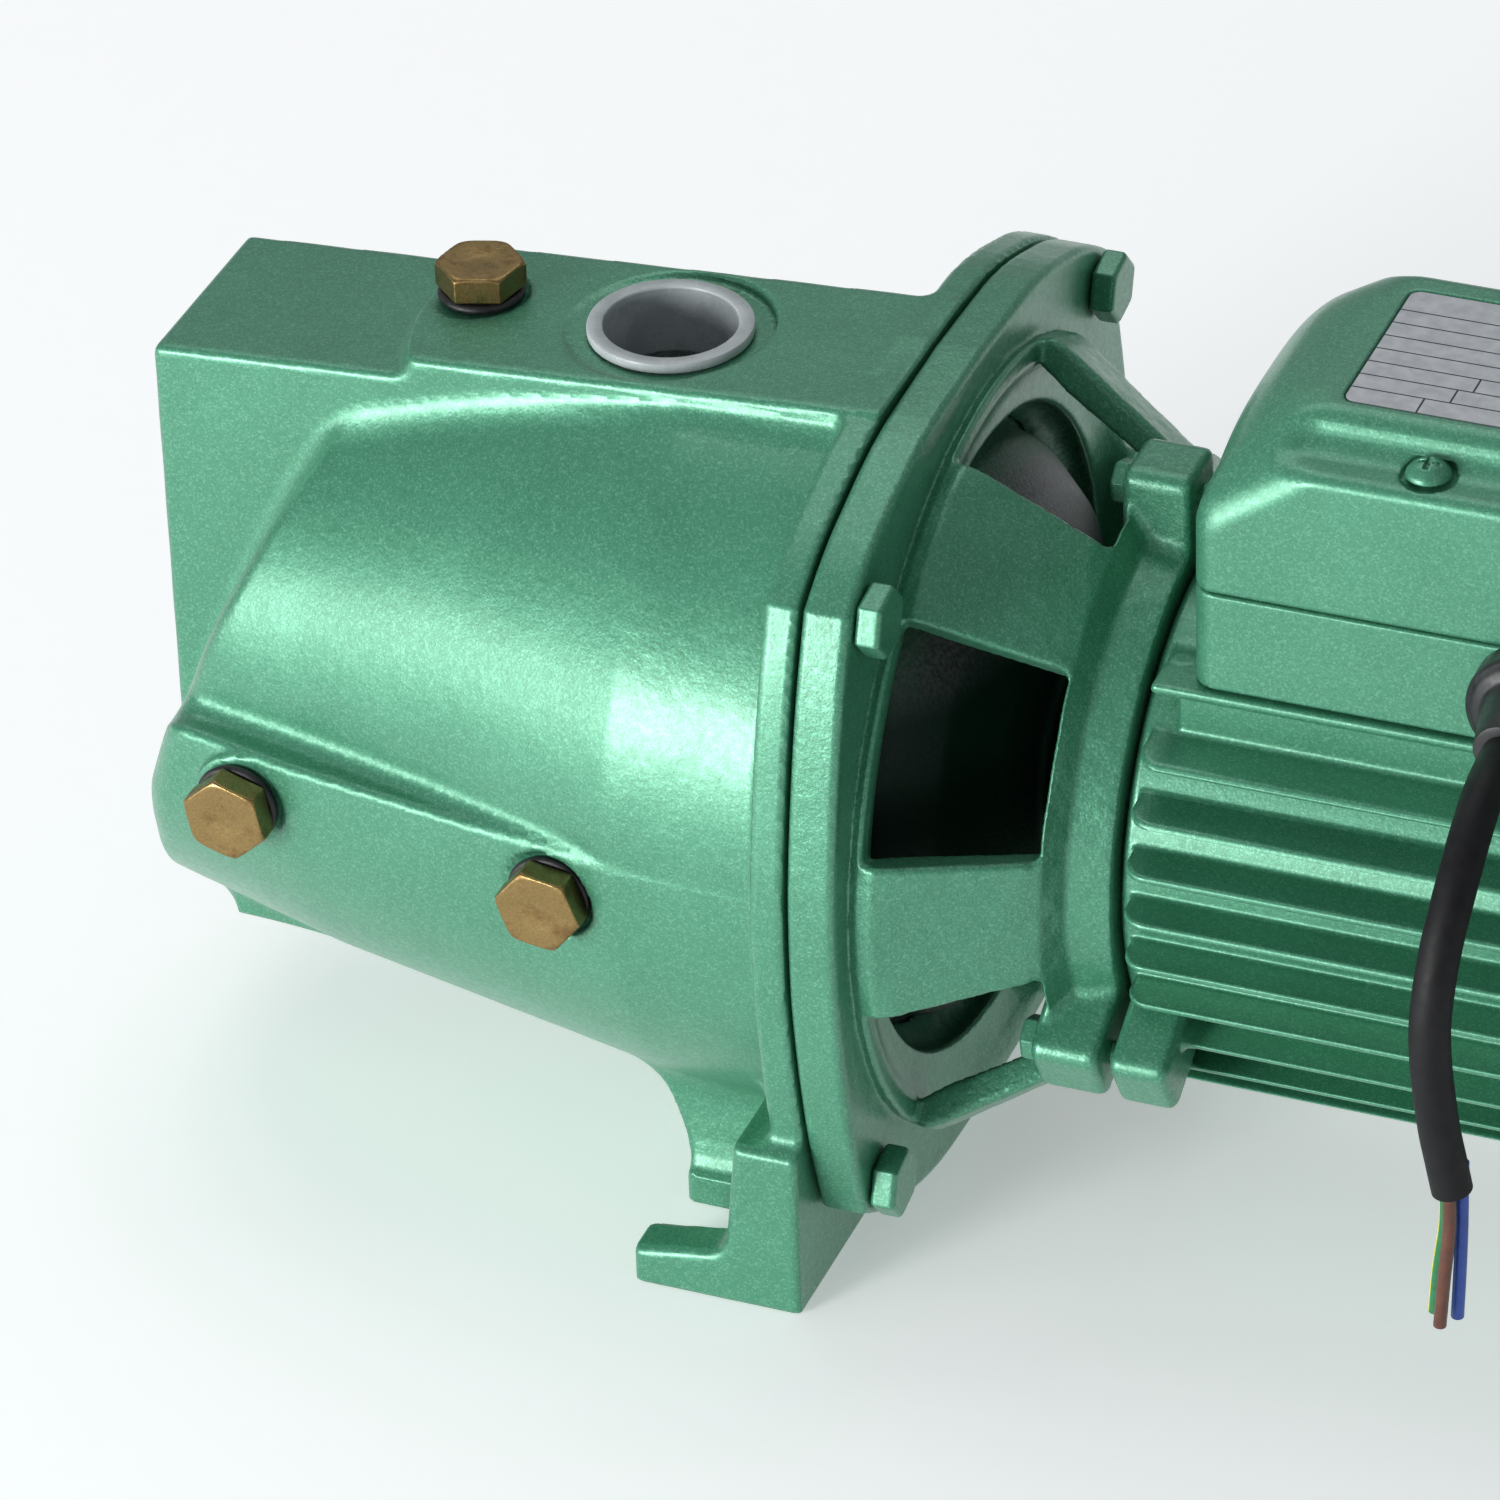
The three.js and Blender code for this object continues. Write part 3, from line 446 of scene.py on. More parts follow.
def tapered(x, radius, points, width):
    """Distance to a bar whose radius changes along x."""
    size = eased(x, points, width)
    steep = (eased(x + 0.5, points, width) - eased(x - 0.5, points, width)).astype(np.float32)
    return (radius - size) / np.sqrt(1 + steep ** 2)


def turned(along, radius, profile):
    """Distance to a closed profile of (along, radius) pairs, revolved."""
    axis = int(np.argmax(along.shape))
    reach = np.arange(0, float(radius.max()) + 1, 0.25, dtype=np.float32)
    table = outline(along.reshape(-1, 1), reach[None], profile)
    flat = radius.reshape(-1)
    rows = [np.interp(flat, reach, row).astype(np.float32).reshape(radius.shape) for row in table]
    return np.concatenate(rows, axis=axis)


def smooth_curve(points, per_span):
    """Catmull-Rom points through a curve's points, without its last one."""
    p = [points[0] * 2 - points[1], *points, points[-1] * 2 - points[-2]]
    made = []
    for a, b, c, d in zip(p, p[1:], p[2:], p[3:]):
        for i in range(per_span):
            t = i / per_span
            made.append(0.5 * (2 * b + (c - a) * t + (2 * a - 5 * b + 4 * c - d) * t * t
                               + (3 * b - a - 3 * c + d) * t ** 3))
    return made


def flange_plan(g):
    """The flange's four bowed sides, which meet in corners."""
    upper = [*smooth_curve([np.array(point, float) for point in FLANGE_SIDE], 5), FLANGE_SIDE[-1]]
    near = [*[(y, -z) for y, z in reversed(upper[1:])], *upper]
    half_crown = smooth_curve([np.array(point, float) for point in FLANGE_TOP], 5)[1:]
    crown = [*half_crown, FLANGE_TOP[-1], *[(-y, z) for y, z in reversed(half_crown)]]
    far = [(-y, z) for y, z in reversed(near)]
    return outline(g.y, g.z, [*near, *crown, *far, *[(-y, -z) for y, z in crown]])


def hexagon(u, v, flats, turn):
    """Distance to a hexagon with a corner at that angle."""
    sides = []
    for i in range(3):
        angle = math.radians(turn + 30 + 60 * i)
        sides.append(abs(u * math.cos(angle) + v * math.sin(angle)))
    return np.maximum(np.maximum(sides[0], sides[1]), sides[2]) - flats / 2


def ripple(g, depth, length):
    """The slow unevenness of a cast skin."""
    k = 2 * math.pi / length
    return depth * (np.sin(k * g.x + 0.7) * np.sin(0.83 * k * g.y) * np.sin(0.91 * k * g.z + 0.4)
                    + 0.6 * np.sin(1.9 * k * g.x) * np.sin(2.1 * k * g.y + 1.1) * np.sin(1.7 * k * g.z + 2))


# ---------------------------------------------------------------- surfaces
CORNERS = [(i, j, k) for i in (0, 1) for j in (0, 1) for k in (0, 1)]


def net(field, axes):
    """Points, quads and normals of the surface where the field is zero."""
    inside = field < 0
    nx, ny, nz = field.shape
    count = sum(inside[i:nx - 1 + i, j:ny - 1 + j, k:nz - 1 + k].astype(np.uint8) for i, j, k in CORNERS)
    mixed = (count > 0) & (count < 8)
    cells = np.argwhere(mixed)
    number = np.full(mixed.shape, -1, np.int32)
    number[mixed] = np.arange(len(cells))
    value = {c: field[tuple((cells + c).T)] for c in CORNERS}
    total = np.zeros((len(cells), 3), np.float32)
    hits = np.zeros(len(cells), np.float32)
    for a in CORNERS:
        for axis in range(3):
            if a[axis]:
                continue
            b = tuple(1 if n == axis else a[n] for n in range(3))
            crossed = (value[a] < 0) != (value[b] < 0)
            point = np.tile(np.array(a, np.float32), (len(cells), 1))
            point[:, axis] = value[a] / np.where(crossed, value[a] - value[b], 1)
            total[crossed] += point[crossed]
            hits += crossed
    local = total / hits[:, None]
    size = np.stack([np.diff(axes[n])[cells[:, n]] for n in range(3)], 1)
    for _ in range(2):
        height, slope = in_cell(value, local, size)
        step = -height[:, None] * slope / np.maximum((slope ** 2).sum(1), 1e-6)[:, None] / size
        local = np.clip(local + step, -0.1, 1.1)
    points = np.stack([axes[n][cells[:, n]] for n in range(3)], 1) + local * size
    slope = in_cell(value, local, size)[1]
    return points, quads(inside, number), slope / np.maximum(np.linalg.norm(slope, axis=1), 1e-9)[:, None]


def in_cell(value, local, size):
    """The field and its slope at a place in each cell."""
    height = np.zeros(len(local), np.float32)
    slope = np.zeros_like(local)
    for corner in CORNERS:
        share = [local[:, n] if corner[n] else 1 - local[:, n] for n in range(3)]
        height += value[corner] * share[0] * share[1] * share[2]
        for n in range(3):
            sign = 1 if corner[n] else -1
            slope[:, n] += sign * value[corner] * share[(n + 1) % 3] * share[(n + 2) % 3] / size[:, n]
    return height, slope


def quads(inside, number):
    faces = []
    for axis in range(3):
        low = tuple(slice(0, -1) if n == axis else slice(1, -1) for n in range(3))
        high = tuple(slice(1, None) if n == axis else slice(1, -1) for n in range(3))
        start, end = inside[low], inside[high]
        u, v = (axis + 1) % 3, (axis + 2) % 3
        for crossing, order in ((start & ~end, 1), (~start & end, -1)):
            at = np.argwhere(crossing)
            at[:, u] += 1
            at[:, v] += 1
            ring = []
            for back_u, back_v in ((1, 1), (0, 1), (0, 0), (1, 0)):
                cell = at.copy()
                cell[:, u] -= back_u
                cell[:, v] -= back_v
                ring.append(number[tuple(cell.T)])
            faces.append(np.stack(ring[::order], 1))
    return np.concatenate(faces)


def quad_mesh(name, points, faces, normals):
    """A smooth mesh from points in the axis frame's millimetres, with normals of its own."""
    mesh = bpy.data.meshes.new(name)
    mesh.vertices.add(len(points))
    mesh.vertices.foreach_set("co", (points * MM + np.array(ORIGIN)).astype(np.float32).ravel())
    mesh.loops.add(faces.size)
    mesh.loops.foreach_set("vertex_index", faces.astype(np.int32).ravel())
    mesh.polygons.add(len(faces))
    mesh.polygons.foreach_set("loop_start", np.arange(0, faces.size, 4, dtype=np.int32))
    mesh.update(calc_edges=True)
    mesh.shade_smooth()
    mesh.normals_split_custom_set_from_vertices(normals)
    return mesh


def net_mesh(name, field, axes):
    return quad_mesh(name, *net(field, axes))


def softened(profile, r):
    """The profile with each corner replaced by three points of an arc of about radius r."""
    points = []
    for i, corner in enumerate(profile):
        here = np.array(corner, float)
        for side in (profile[i - 1], profile[(i + 1) % len(profile)]):
            way = np.array(side, float) - here
            length = np.linalg.norm(way)
            points.append(here + way / length * min(r, length * 0.4))
        middle = (points[-1] + points[-2]) / 2
        points.insert(-1, here * 0.42 + middle * 0.58)
    return points


def lathe_mesh(name, profile, place, out, soft=0.4, segments=96):
    """A closed profile of (along, radius) pairs turned about an axis through place that points out."""
    points = softened(profile, soft)
    out = Vector(out).normalized()
    side = out.orthogonal().normalized()
    other = out.cross(side)
    verts = []
    for i in range(segments):
        angle = 2 * math.pi * i / segments
        spoke = side * math.cos(angle) + other * math.sin(angle)
        for along, radius in points:
            verts.append(in_frame(*(Vector(place) + out * along + spoke * max(radius, 0.02))))
    n = len(points)
    faces = []
    for i in range(segments):
        a, b = i * n, (i + 1) % segments * n
        faces += [(a + j, a + (j + 1) % n, b + (j + 1) % n, b + j) for j in range(n)]
    mesh = bpy.data.meshes.new(name)
    mesh.from_pydata(verts, [], faces)
    mesh.shade_smooth()
    mesh.set_sharp_from_angle(angle=math.radians(38))
    outward(mesh)
    return mesh


def outward(mesh):
    """Turns every face of a closed mesh to face out."""
    held = bmesh.new()
    held.from_mesh(mesh)
    bmesh.ops.recalc_face_normals(held, faces=held.faces)
    held.to_mesh(mesh)
    held.free()


def piece(mesh, body, slot, material, *nodes):
    made = bpy.data.objects.new(mesh.name, mesh)
    bpy.context.scene.collection.objects.link(made)
    made.data.materials.append(material)
    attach(made, body)
    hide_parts(*nodes)
    return made


# ---------------------------------------------------------------- pump body
NOSE_X = -155.6
BLOCK_Y = (-29.5, 17.6)
LAND_STEP = 4.1
LAND_RADIUS = 52.4
DISCHARGE = (-53.25, -5.4)
PRIMING = (-95.5, -1.5)
SIDE_PLUGS = [{"x": -125, "seat": -66.3, "turn": -18}, {"x": -53.5, "seat": -75.8, "turn": -9}]
SIDE_PLUG_Z = -5
LEDGE_Z = 6.5
PORT_BORE = 15.3
PORT_SPOT = 21
PLUG_BORE = 6.6
PLUG_SPOT = 9.7
PLUG_FLATS = 16
PLUG_HEAD = (2.6, 8.2)
KEEL = (-146, -61.4)
TOE_X = -36.2
FLANGE_SIDE = [(86.8, 0), (86.2, 14.5), (83, 35.5), (78.8, 53.8), (73.4, 70.2)]
FLANGE_TOP = [(73.4, 70.2), (64.4, 75.8), (53.6, 80.3), (31.6, 86.2), (0, 87.8)]
UPPER_RADIUS = [(-158, 50), (-114.6, 59.2), (-84.7, 66.4), (-40, 79.7), (0, 81.4)]
UPPER_CENTRE = [(-158, 12), (-114.6, 11.7), (-84.7, 12.6), (-40, 7.2), (0, 6.4)]
LOWER_RADIUS = [(-158, 58), (-114.6, 68), (-40, 80), (0, 81.6)]
SLANTED_END = [(-100, -158), (-46, -157), (-13.3, -151), (3.9, -144.3), (27.4, -134.5), (45.9, -125),
               (63.4, -114.6), (84, -103), (100, -94)]
END_ROUNDING = [(-60, 1.5), (-48, 2.5), (-28, 6), (-8, 6), (20, 3), (70, 1.2)]
GROOVE = [(-60, 4), (-50, 3), (-41, 1.5), (-30, 0.5)]


def land(x):
    return 88.1 + 0.065 * x


DISCHARGE_SEAT = land(DISCHARGE[0]) - 1.6
PRIMING_SEAT = land(PRIMING[0]) - 0.7


def barrel(g):
    """The upper half barrel, the ejector's housing below it, and their slanted end."""
    centre = eased(g.x, UPPER_CENTRE, 7)
    upper = tapered(g.x, np.hypot(g.y, g.z - centre), UPPER_RADIUS, 7) + 6 * np.clip((g.y + 5) / 25, 0, 1)
    upper = meet(upper, g.z - land(g.x) + 3, 4)
    lower = meet(tapered(g.x, g.radius, LOWER_RADIUS, 7), g.z - LEDGE_Z, 1.5)
    groove = np.interp(g.x, *np.array(GROOVE).T).astype(np.float32)
    end = tapered(g.z, -g.x, [(z, -x) for z, x in SLANTED_END], 10)
    rounding = np.interp(g.z, *np.array(END_ROUNDING).T).astype(np.float32)
    return meet(fuse(upper, lower, groove), end, rounding)


def port_block(g):
    """The flat-sided block with the ports; the land on its top ends in an arc round the discharge."""
    sides = outline(g.x, g.z, [(NOSE_X, -20), KEEL, (-100, KEEL[1] - 2), (4, KEEL[1] - 2), (4, 100),
                               (NOSE_X, 100)])
    arc = np.hypot(g.x - DISCHARGE[0], g.y - DISCHARGE[1]) - LAND_RADIUS
    raised = meet(g.z - land(g.x), np.minimum(arc, DISCHARGE[0] - g.x), 1.2)
    top = fuse(g.z - land(g.x) + LAND_STEP, raised, 3)
    return meet(meet(sides, slab(g.y, *BLOCK_Y), 1.6), top, 1.6)


def foot(g):
    """The web under the flange, its two toes, and the gusset that flares out into the barrel."""
    side = outline(g.x, g.z, [(-18, -95), (-14, -52), (4, -52), (4, -95)])
    low = outline(g.x, g.z, [(TOE_X, -95), (-10, -95), (-10, -79), (-21, -79.5), (TOE_X, -82)])
    web = meet(side, abs(g.y) - 84.2, 2)
    toe = meet(fuse(side, low, 4), slab(abs(g.y), 73.7, 84.2), 2)
    flare = TOE_X - 12 * np.clip((g.z + 82) / 26, 0, 1) ** 1.4
    curve = [(56 - 9 * t + 3 * t * t, -83 + 28 * t * t) for t in np.linspace(0, 1, 7)]
    gusset = meet(outline(abs(g.y), g.z, [(8, -95), (56, -95), *curve, (8, -58)]), slab(g.x, flare, -6), 2)
    whole = np.minimum(fuse(web, gusset, 3), toe)
    return meet(whole, -AXIS_HEIGHT - g.z, 0.8)


def port(along, radius, bore, spot, depth):
    """A spot-faced bore; along is measured outwards from the seat."""
    return np.minimum(np.maximum(radius - bore, -depth - along), np.maximum(radius - spot, -along))


def pump_body():
    step = 1.1
    g = even_grid((-161, -90, -94), (3, 90, 92), step)
    block_part = port_block(g)
    cast = fuse(block_part, barrel(g), 5)
    flanged = meet(fuse(cast, -7.2 - g.x, 3), flange_plan(g) - 0.4, 1.2)
    cast = fuse(np.minimum(flanged, block_part), foot(g), 4)
    for plug in SIDE_PLUGS:
        rim = np.hypot(g.x - plug["x"], g.z - SIDE_PLUG_Z) - PLUG_SPOT - 0.3
        pad = meet(rim, slab(g.y, plug["seat"], -50), 0.4)
        cast = fuse(cast, pad, 1)
    cast = meet(cast + ripple(g, 0.03, 19), g.x + 0.3, 0.3)
    holes = [port(g.z - DISCHARGE_SEAT, np.hypot(g.x - DISCHARGE[0], g.y - DISCHARGE[1]), PORT_BORE,
                  PORT_SPOT, 30),
             port(g.z - PRIMING_SEAT, np.hypot(g.x - PRIMING[0], g.y - PRIMING[1]), PLUG_BORE, PLUG_SPOT, 24),
             port(NOSE_X - g.x, np.hypot(g.y - sum(BLOCK_Y) / 2, g.z), PORT_BORE, 0, 30)]
    for plug in SIDE_PLUGS:
        away = np.hypot(g.x - plug["x"], g.z - SIDE_PLUG_Z)
        holes.append(port(plug["seat"] - g.y, away, PLUG_BORE, PLUG_SPOT, 24))
    for hole in holes:
        cast = carve(cast, hole, 0.5)
    cast = meet(cast, -AXIS_HEIGHT - g.z, 0.4)
    mesh = net_mesh("pump_body_casting", cast, g.axes)
    piece(mesh, "stationary", "painted_cast_iron", CAST_GREEN, "pump_body")


# ---------------------------------------------------------------- caps, plugs and seals
def transit_cap(name, place, out, body):
    r = PORT_BORE - 0.4
    profile = [(2.5, 13.5), (2.5, 16.7), (0.3, 16.7), (0.3, r), (-14, r), (-14, 0), (-10, 0), (-10, 2.6),
               (-12.4, 3), (-12.4, 12.9)]
    mesh = lathe_mesh(name + "_moulding", profile, place, out, 0.5)
    made = piece(mesh, body, "cap_plastic", CAP_RIM, name)
    made.data.materials.append(CAP_WALL)
    made.data.materials.append(CAP_CUP)
    seat = in_frame(*place)
    # faces deeper in the port take the wall and cup colours, which are painted darker as shade inside the
    # port
    for face in mesh.polygons:
        below = (face.center - seat).dot(Vector(out))
        face.material_index = 0 if below > -0.2 * MM else 1 if below > -11 * MM else 2


def hex_plug(name, place, out, turn, body):
    """A hexagon plug, drawn upright or facing the front."""
    low, top = PLUG_HEAD
    g = even_grid((-10.4, -10.4, -9.6), (10.4, 10.4, 9), 0.32)
    away = np.hypot(g.x, g.y)
    head = meet(hexagon(g.x, g.y, PLUG_FLATS, turn), slab(g.z, low, top), 0.35)
    crown = away + (g.z - top) * 1.5 - 8.3
    head = meet(head, crown / 1.8, 0.3)
    dish = np.hypot(away, g.z - top - 34) - 34.25
    head = carve(head, dish, 0.2)
    thread = 6.05 + 0.22 * np.cos(2 * math.pi * g.z / 1.34)
    shank = np.maximum(away - thread, slab(g.z, -9, 3))
    field = np.minimum(head, shank)
    points, faces, normals = net(field, g.axes)
    if out == "up":
        turn_to = np.eye(3)
    else:
        turn_to = np.array([[1, 0, 0], [0, 0, -1], [0, 1, 0]])
    points = points @ turn_to.T + np.array(place)
    mesh = quad_mesh(name + "_hexagon", points, faces, normals @ turn_to.T)
    piece(mesh, body, "bronze", BRONZE, name)


def plug_seal(name, place, out, body):
    ring = [(1.3 + math.sin(a), 7.7 + 1.15 * math.cos(a)) for a in np.linspace(0, 2 * math.pi, 16, False)]
    mesh = lathe_mesh(name + "_ring", ring, place, out, 0.1, 64)
    piece(mesh, body, "black_rubber", RUBBER, name)


def closures():
    transit_cap("discharge_cap", (*DISCHARGE, DISCHARGE_SEAT), (0, 0, 1), "discharge_cap")
    transit_cap("suction_cap", (NOSE_X, sum(BLOCK_Y) / 2, 0), (-1, 0, 0), "suction_cap")
    place = (*PRIMING, PRIMING_SEAT)
    hex_plug("priming_plug", place, "up", -42, "priming_plug")
    plug_seal("priming_seal", place, (0, 0, 1), "priming_plug")
    for i, plug in enumerate(SIDE_PLUGS, 1):
        place = (plug["x"], plug["seat"], SIDE_PLUG_Z)
        hex_plug(f"side_plug_{i}", place, "front", plug["turn"], f"side_plug_{i}")
        plug_seal(f"side_seal_{i}", place, (0, -1, 0), f"side_plug_{i}")


# ---------------------------------------------------------------- bracket
TIE_ANGLES = (90, 210, 330)
TIE_R = 64
BOLT_OUT = 66
BOLT_SIZE = {"flats": 13, "height": 5.3, "shank": 3.9, "turn": 12}
BOLT_SPAN = (10.6, -6.2)
SCREW_SIZE = {"flats": 8, "height": 3.5, "shank": 2.5, "turn": 20}
RING_SPAN = (41.2, 65)
SHIELD_SPAN = (193.3, 180)
BRACKET_SHELL = [(0.4, 62), (0.4, 79), (10.3, 79), (12, 80.8), (15.5, 81), (43.5, 62.5), (47, 57), (55.8, 55),
                 (55.8, 23), (48.5, 23), (48.5, 50), (42, 58), (13, 76.2), (8, 68)]
# the middle and half width of each, in degrees from the far side over the top
WINDOWS = [(37.5, 22.5), (90, 17.3), (150, 17.3), (210, 17.3), (260.5, 24.5), (330, 17.3)]


def folded(angle, centre):
    """Degrees away from the nearest of six even places, the first at centre."""
    return abs((angle - centre + 30) % 60 - 30)


def turned_about_shaft(g, angle):
    """Distances out from the shaft at that angle, and across."""
    c, s = math.cos(math.radians(angle)), math.sin(math.radians(angle))
    return g.y * c + g.z * s, g.z * c - g.y * s


def lug(g, angle, x, inner, r=2.0):
    """A square lug that stands out at that angle round the shaft."""
    along, across = turned_about_shaft(g, angle)
    return meet(meet(slab(along, inner, 71), abs(across) - 8, 3), slab(g.x, *x), r)


def bracket():
    g = Grid(ticks((-1, 0.9), (59, 0)), ticks((-89, 1.0), (89, 0)), ticks((-90, 1.0), (90, 0)))
    away = folded(g.angle, 0)
    flat = 1.012 - np.cos(np.radians(away))
    panel = np.clip((g.x - 13) / 6, 0, 1) * np.clip((45 - g.x) / 4, 0, 1) * np.clip((24 - away) / 8, 0, 1)
    shell = turned(g.x, g.radius, BRACKET_SHELL) - 0.55 * g.radius * flat * panel + 0.4 * panel
    flange = carve(meet(flange_plan(g), slab(g.x, 0.2, 10.3), 1.7), g.radius - 66, 1)
    shell = shell + ripple(g, 0.12, 15)
    for middle, half in WINDOWS:
        away = abs((g.angle - middle + 180) % 360 - 180)
        side = g.radius * np.sin(np.radians(np.minimum(away - half, 80)))
        window = np.maximum(meet(side, slab(g.x, 13.2, 43), 1.5), 40 - g.radius)
        shell = carve(shell, window, 1.1)
    cast = fuse(shell, flange, 1.5)
    hub = turned(g.x, g.radius, [(34, 13), (34, 25), (55.8, 25), (55.8, 20), (36, 20), (36, 13)])
    cast = fuse(cast, hub, 2)
    for angle in TIE_ANGLES:
        cast = fuse(cast, lug(g, angle, (41.5, 55.8), 52), 2.5)
    cast = meet(meet(cast, 0.3 - g.x, 0.3), g.x - 55.8, 0.6)
    mesh = net_mesh("bracket_casting", cast, g.axes)
    piece(mesh, "stationary", "painted_cast_iron", BRACKET_GREEN, "bracket")


def hex_head(name, span, y, z, slot, material, r, flats, height, shank, turn):
    """A hexagon-headed bolt along X; span is the seat under its head, and its tip."""
    seat, tip = span
    way = 1 if tip < seat else -1
    reach = flats * 0.66
    g = even_grid((-abs(tip - seat) - 1, -reach, -reach), (height + 1.2, reach, reach), flats / 32)
    head = meet(hexagon(g.y, g.z, flats, turn), slab(g.x, 0, height), r)
    head = meet(head, (g.radius + (g.x - height) * 1.3 - flats * 0.53) / 1.64, 0.4)
    thread = shank - 0.12 + 0.12 * np.cos(2 * math.pi * g.x / 1.25)
    field = np.minimum(head, np.maximum(g.radius - thread, slab(g.x, -abs(tip - seat), 1)))
    points, faces, normals = net(field, g.axes)
    flip = np.array([way, 1, way])
    mesh = quad_mesh(name + "_hexagon", points * flip + np.array([seat, y, z]), faces, normals * flip)
    piece(mesh, "stationary", slot, material, name)


def bolts():
    corners = [(y, z) for y in (-BOLT_OUT, BOLT_OUT) for z in (-BOLT_OUT, BOLT_OUT)]
    for i, (y, z) in enumerate(corners, 1):
        hex_head(f"flange_bolt_{i}", BOLT_SPAN, y, z, "painted_steel", SMOOTH_GREEN, 1.1, **BOLT_SIZE)
    for i, angle in enumerate(TIE_ANGLES, 1):
        y, z = TIE_R * math.cos(math.radians(angle)), TIE_R * math.sin(math.radians(angle))
        hex_head(f"ring_screw_{i}", RING_SPAN, y, z, "zinc_steel", OVERSPRAYED, 0.9, **SCREW_SIZE)
        hex_head(f"shield_screw_{i}", SHIELD_SPAN, y, z, "zinc_steel", ZINC, 0.5, **SCREW_SIZE)


def seal_plate():
    profile = [(-1.6, 58), (-1.6, 69.8), (0, 69.8), (0, 61), (8, 59), (18, 50), (25, 34), (28, 22), (30, 21),
               (30, 10.5), (20, 10.5), (20, 20), (10, 42)]
    mesh = lathe_mesh("seal_plate_pressing", profile, (0, 0, 0), (1, 0, 0), 1.2)
    piece(mesh, "stationary", "blasted_steel", BLASTED, "seal_plate")


# ---------------------------------------------------------------- motor
FRAME_END = 188
FRAME_R = 52
FIN_R = 61
SIDE_FIN_PITCH = 10.2
SIDE_FIN_SHIFT = 2.9
LOWER_FIN_PITCH = 10
PEDESTAL_TOP = 45.7


def motor_frame():
    fine, coarse = 0.55, 7
    xs = ticks((55, 0.7), (69, 2), (74, coarse), (160, 1), (169, 3), (174, 1), (190, 0))
    g = Grid(xs, ticks((-67.5, fine), (67.5, 0)), ticks((-73, fine), (73, 0)))
    end = [(56.4, 40), (56.4, 51), (57.4, FRAME_R), (184, FRAME_R), (185.5, 55), (188, 55), (188, 40)]
    body = turned(g.x, g.radius, end)
    plan = meet(g.radius - FIN_R, slab(g.x, 59, FRAME_END - 1), 5)
    for i in range(-5, 4):
        thick = 0.75 + 0.05 * np.clip(FIN_R - g.radius, 0, 8)
        fin = meet(plan, abs(g.z - SIDE_FIN_SHIFT - SIDE_FIN_PITCH * i) - thick, 0.5)
        body = fuse(body, fin, 0.8)
    for i in range(-2, 3):
        fin = meet(meet(plan, abs(g.y - LOWER_FIN_PITCH * i) - 1, 0.7), g.z + 44)
        body = fuse(body, fin, 1)
    lip = block(g, (59, 166), (-41, 41), (PEDESTAL_TOP - 2.2, PEDESTAL_TOP), 0.8)
    wall = block(g, (64, 165), (-39.2, 39.2), (30, PEDESTAL_TOP - 1), 1)
    body = fuse(fuse(body, wall, 1.2), lip, 0.8)
    for angle in TIE_ANGLES:
        body = fuse(body, lug(g, angle, (58, 70), 48), 1.5)
        body = fuse(body, lug(g, angle, (177, FRAME_END), 48), 1.5)
    body = carve(body, g.radius - 46, 0.5)
    nub = np.hypot(np.hypot(g.x - 62, g.y + 30), (g.z - PEDESTAL_TOP) * 1.4) - 2.1
    body = fuse(body, np.maximum(nub, slab(g.z, 40, PEDESTAL_TOP)), 0.5)
    mesh = net_mesh("motor_frame_casting", body, g.axes)
    piece(mesh, "stationary", "painted_aluminium", SMOOTH_GREEN, "motor_frame")


def rear_shield():
    g = Grid(ticks((182, 0.9), (194, 0)), ticks((-65, 0.9), (65, 0)), ticks((-73, 0.9), (73, 0)))
    field = turned(g.x, g.radius, [(188.3, 14), (188.3, 55.5), (191, 55.5), (191, 14)])
    spigot = turned(g.x, g.radius, [(183, 42), (183, 45.7), (190, 45.7), (190, 42)])
    field = np.minimum(field, spigot)
    for angle in TIE_ANGLES:
        field = fuse(field, lug(g, angle, (188.3, 193), 50, 0.8), 1)
    mesh = net_mesh("rear_shield_casting", field, g.axes)
    piece(mesh, "stationary", "painted_aluminium", SMOOTH_GREEN, "rear_shield")


def fan_cover():
    g = Grid(ticks((190, 1), (224, 0.8), (237, 0)), ticks((-64, 0.85), (64, 0)), ticks((-64, 0.85), (64, 0)))
    wall = [(192, 62), (226, 62), (230, 59.5), (233, 55), (235, 47), (235, 0), (233, 0), (233, 46.4),
            (231, 54), (228, 58), (225, 60), (192, 60)]
    field = turned(g.x, g.radius, wall)
    side = g.radius * np.sin(np.radians(np.minimum(folded(g.angle, 30) - 24, 60)))
    for inner in (14, 24, 34):
        slot = meet(slab(g.radius, inner, inner + 5), side, 2.2)
        field = carve(field, np.maximum(slot, 228 - g.x), 0.4)
    for angle in TIE_ANGLES:
        along, across = turned_about_shaft(g, angle)
        ear = np.maximum(np.maximum(abs(across) - 9.5, 55 - along), g.x - 202)
        field = carve(field, ear, 0.4)
    mesh = net_mesh("fan_cover_moulding", field, g.axes)
    piece(mesh, "stationary", "black_plastic", BLACK_PLASTIC, "fan_cover")


# ---------------------------------------------------------------- terminal box
BOX_X = (66.5, 163)
BOX_MID = sum(BOX_X) / 2
BOX_HALF = ((BOX_X[1] - BOX_X[0]) / 2, 39.5)
BOX_FOOT = 46
BOX_SPLIT = 67.7
BOX_LEDGE = 98
BOX_TOP = 105
SCREW_X = BOX_MID - 3
SCREW_Y = 32
GLAND = (136, -39.5, 58.3)


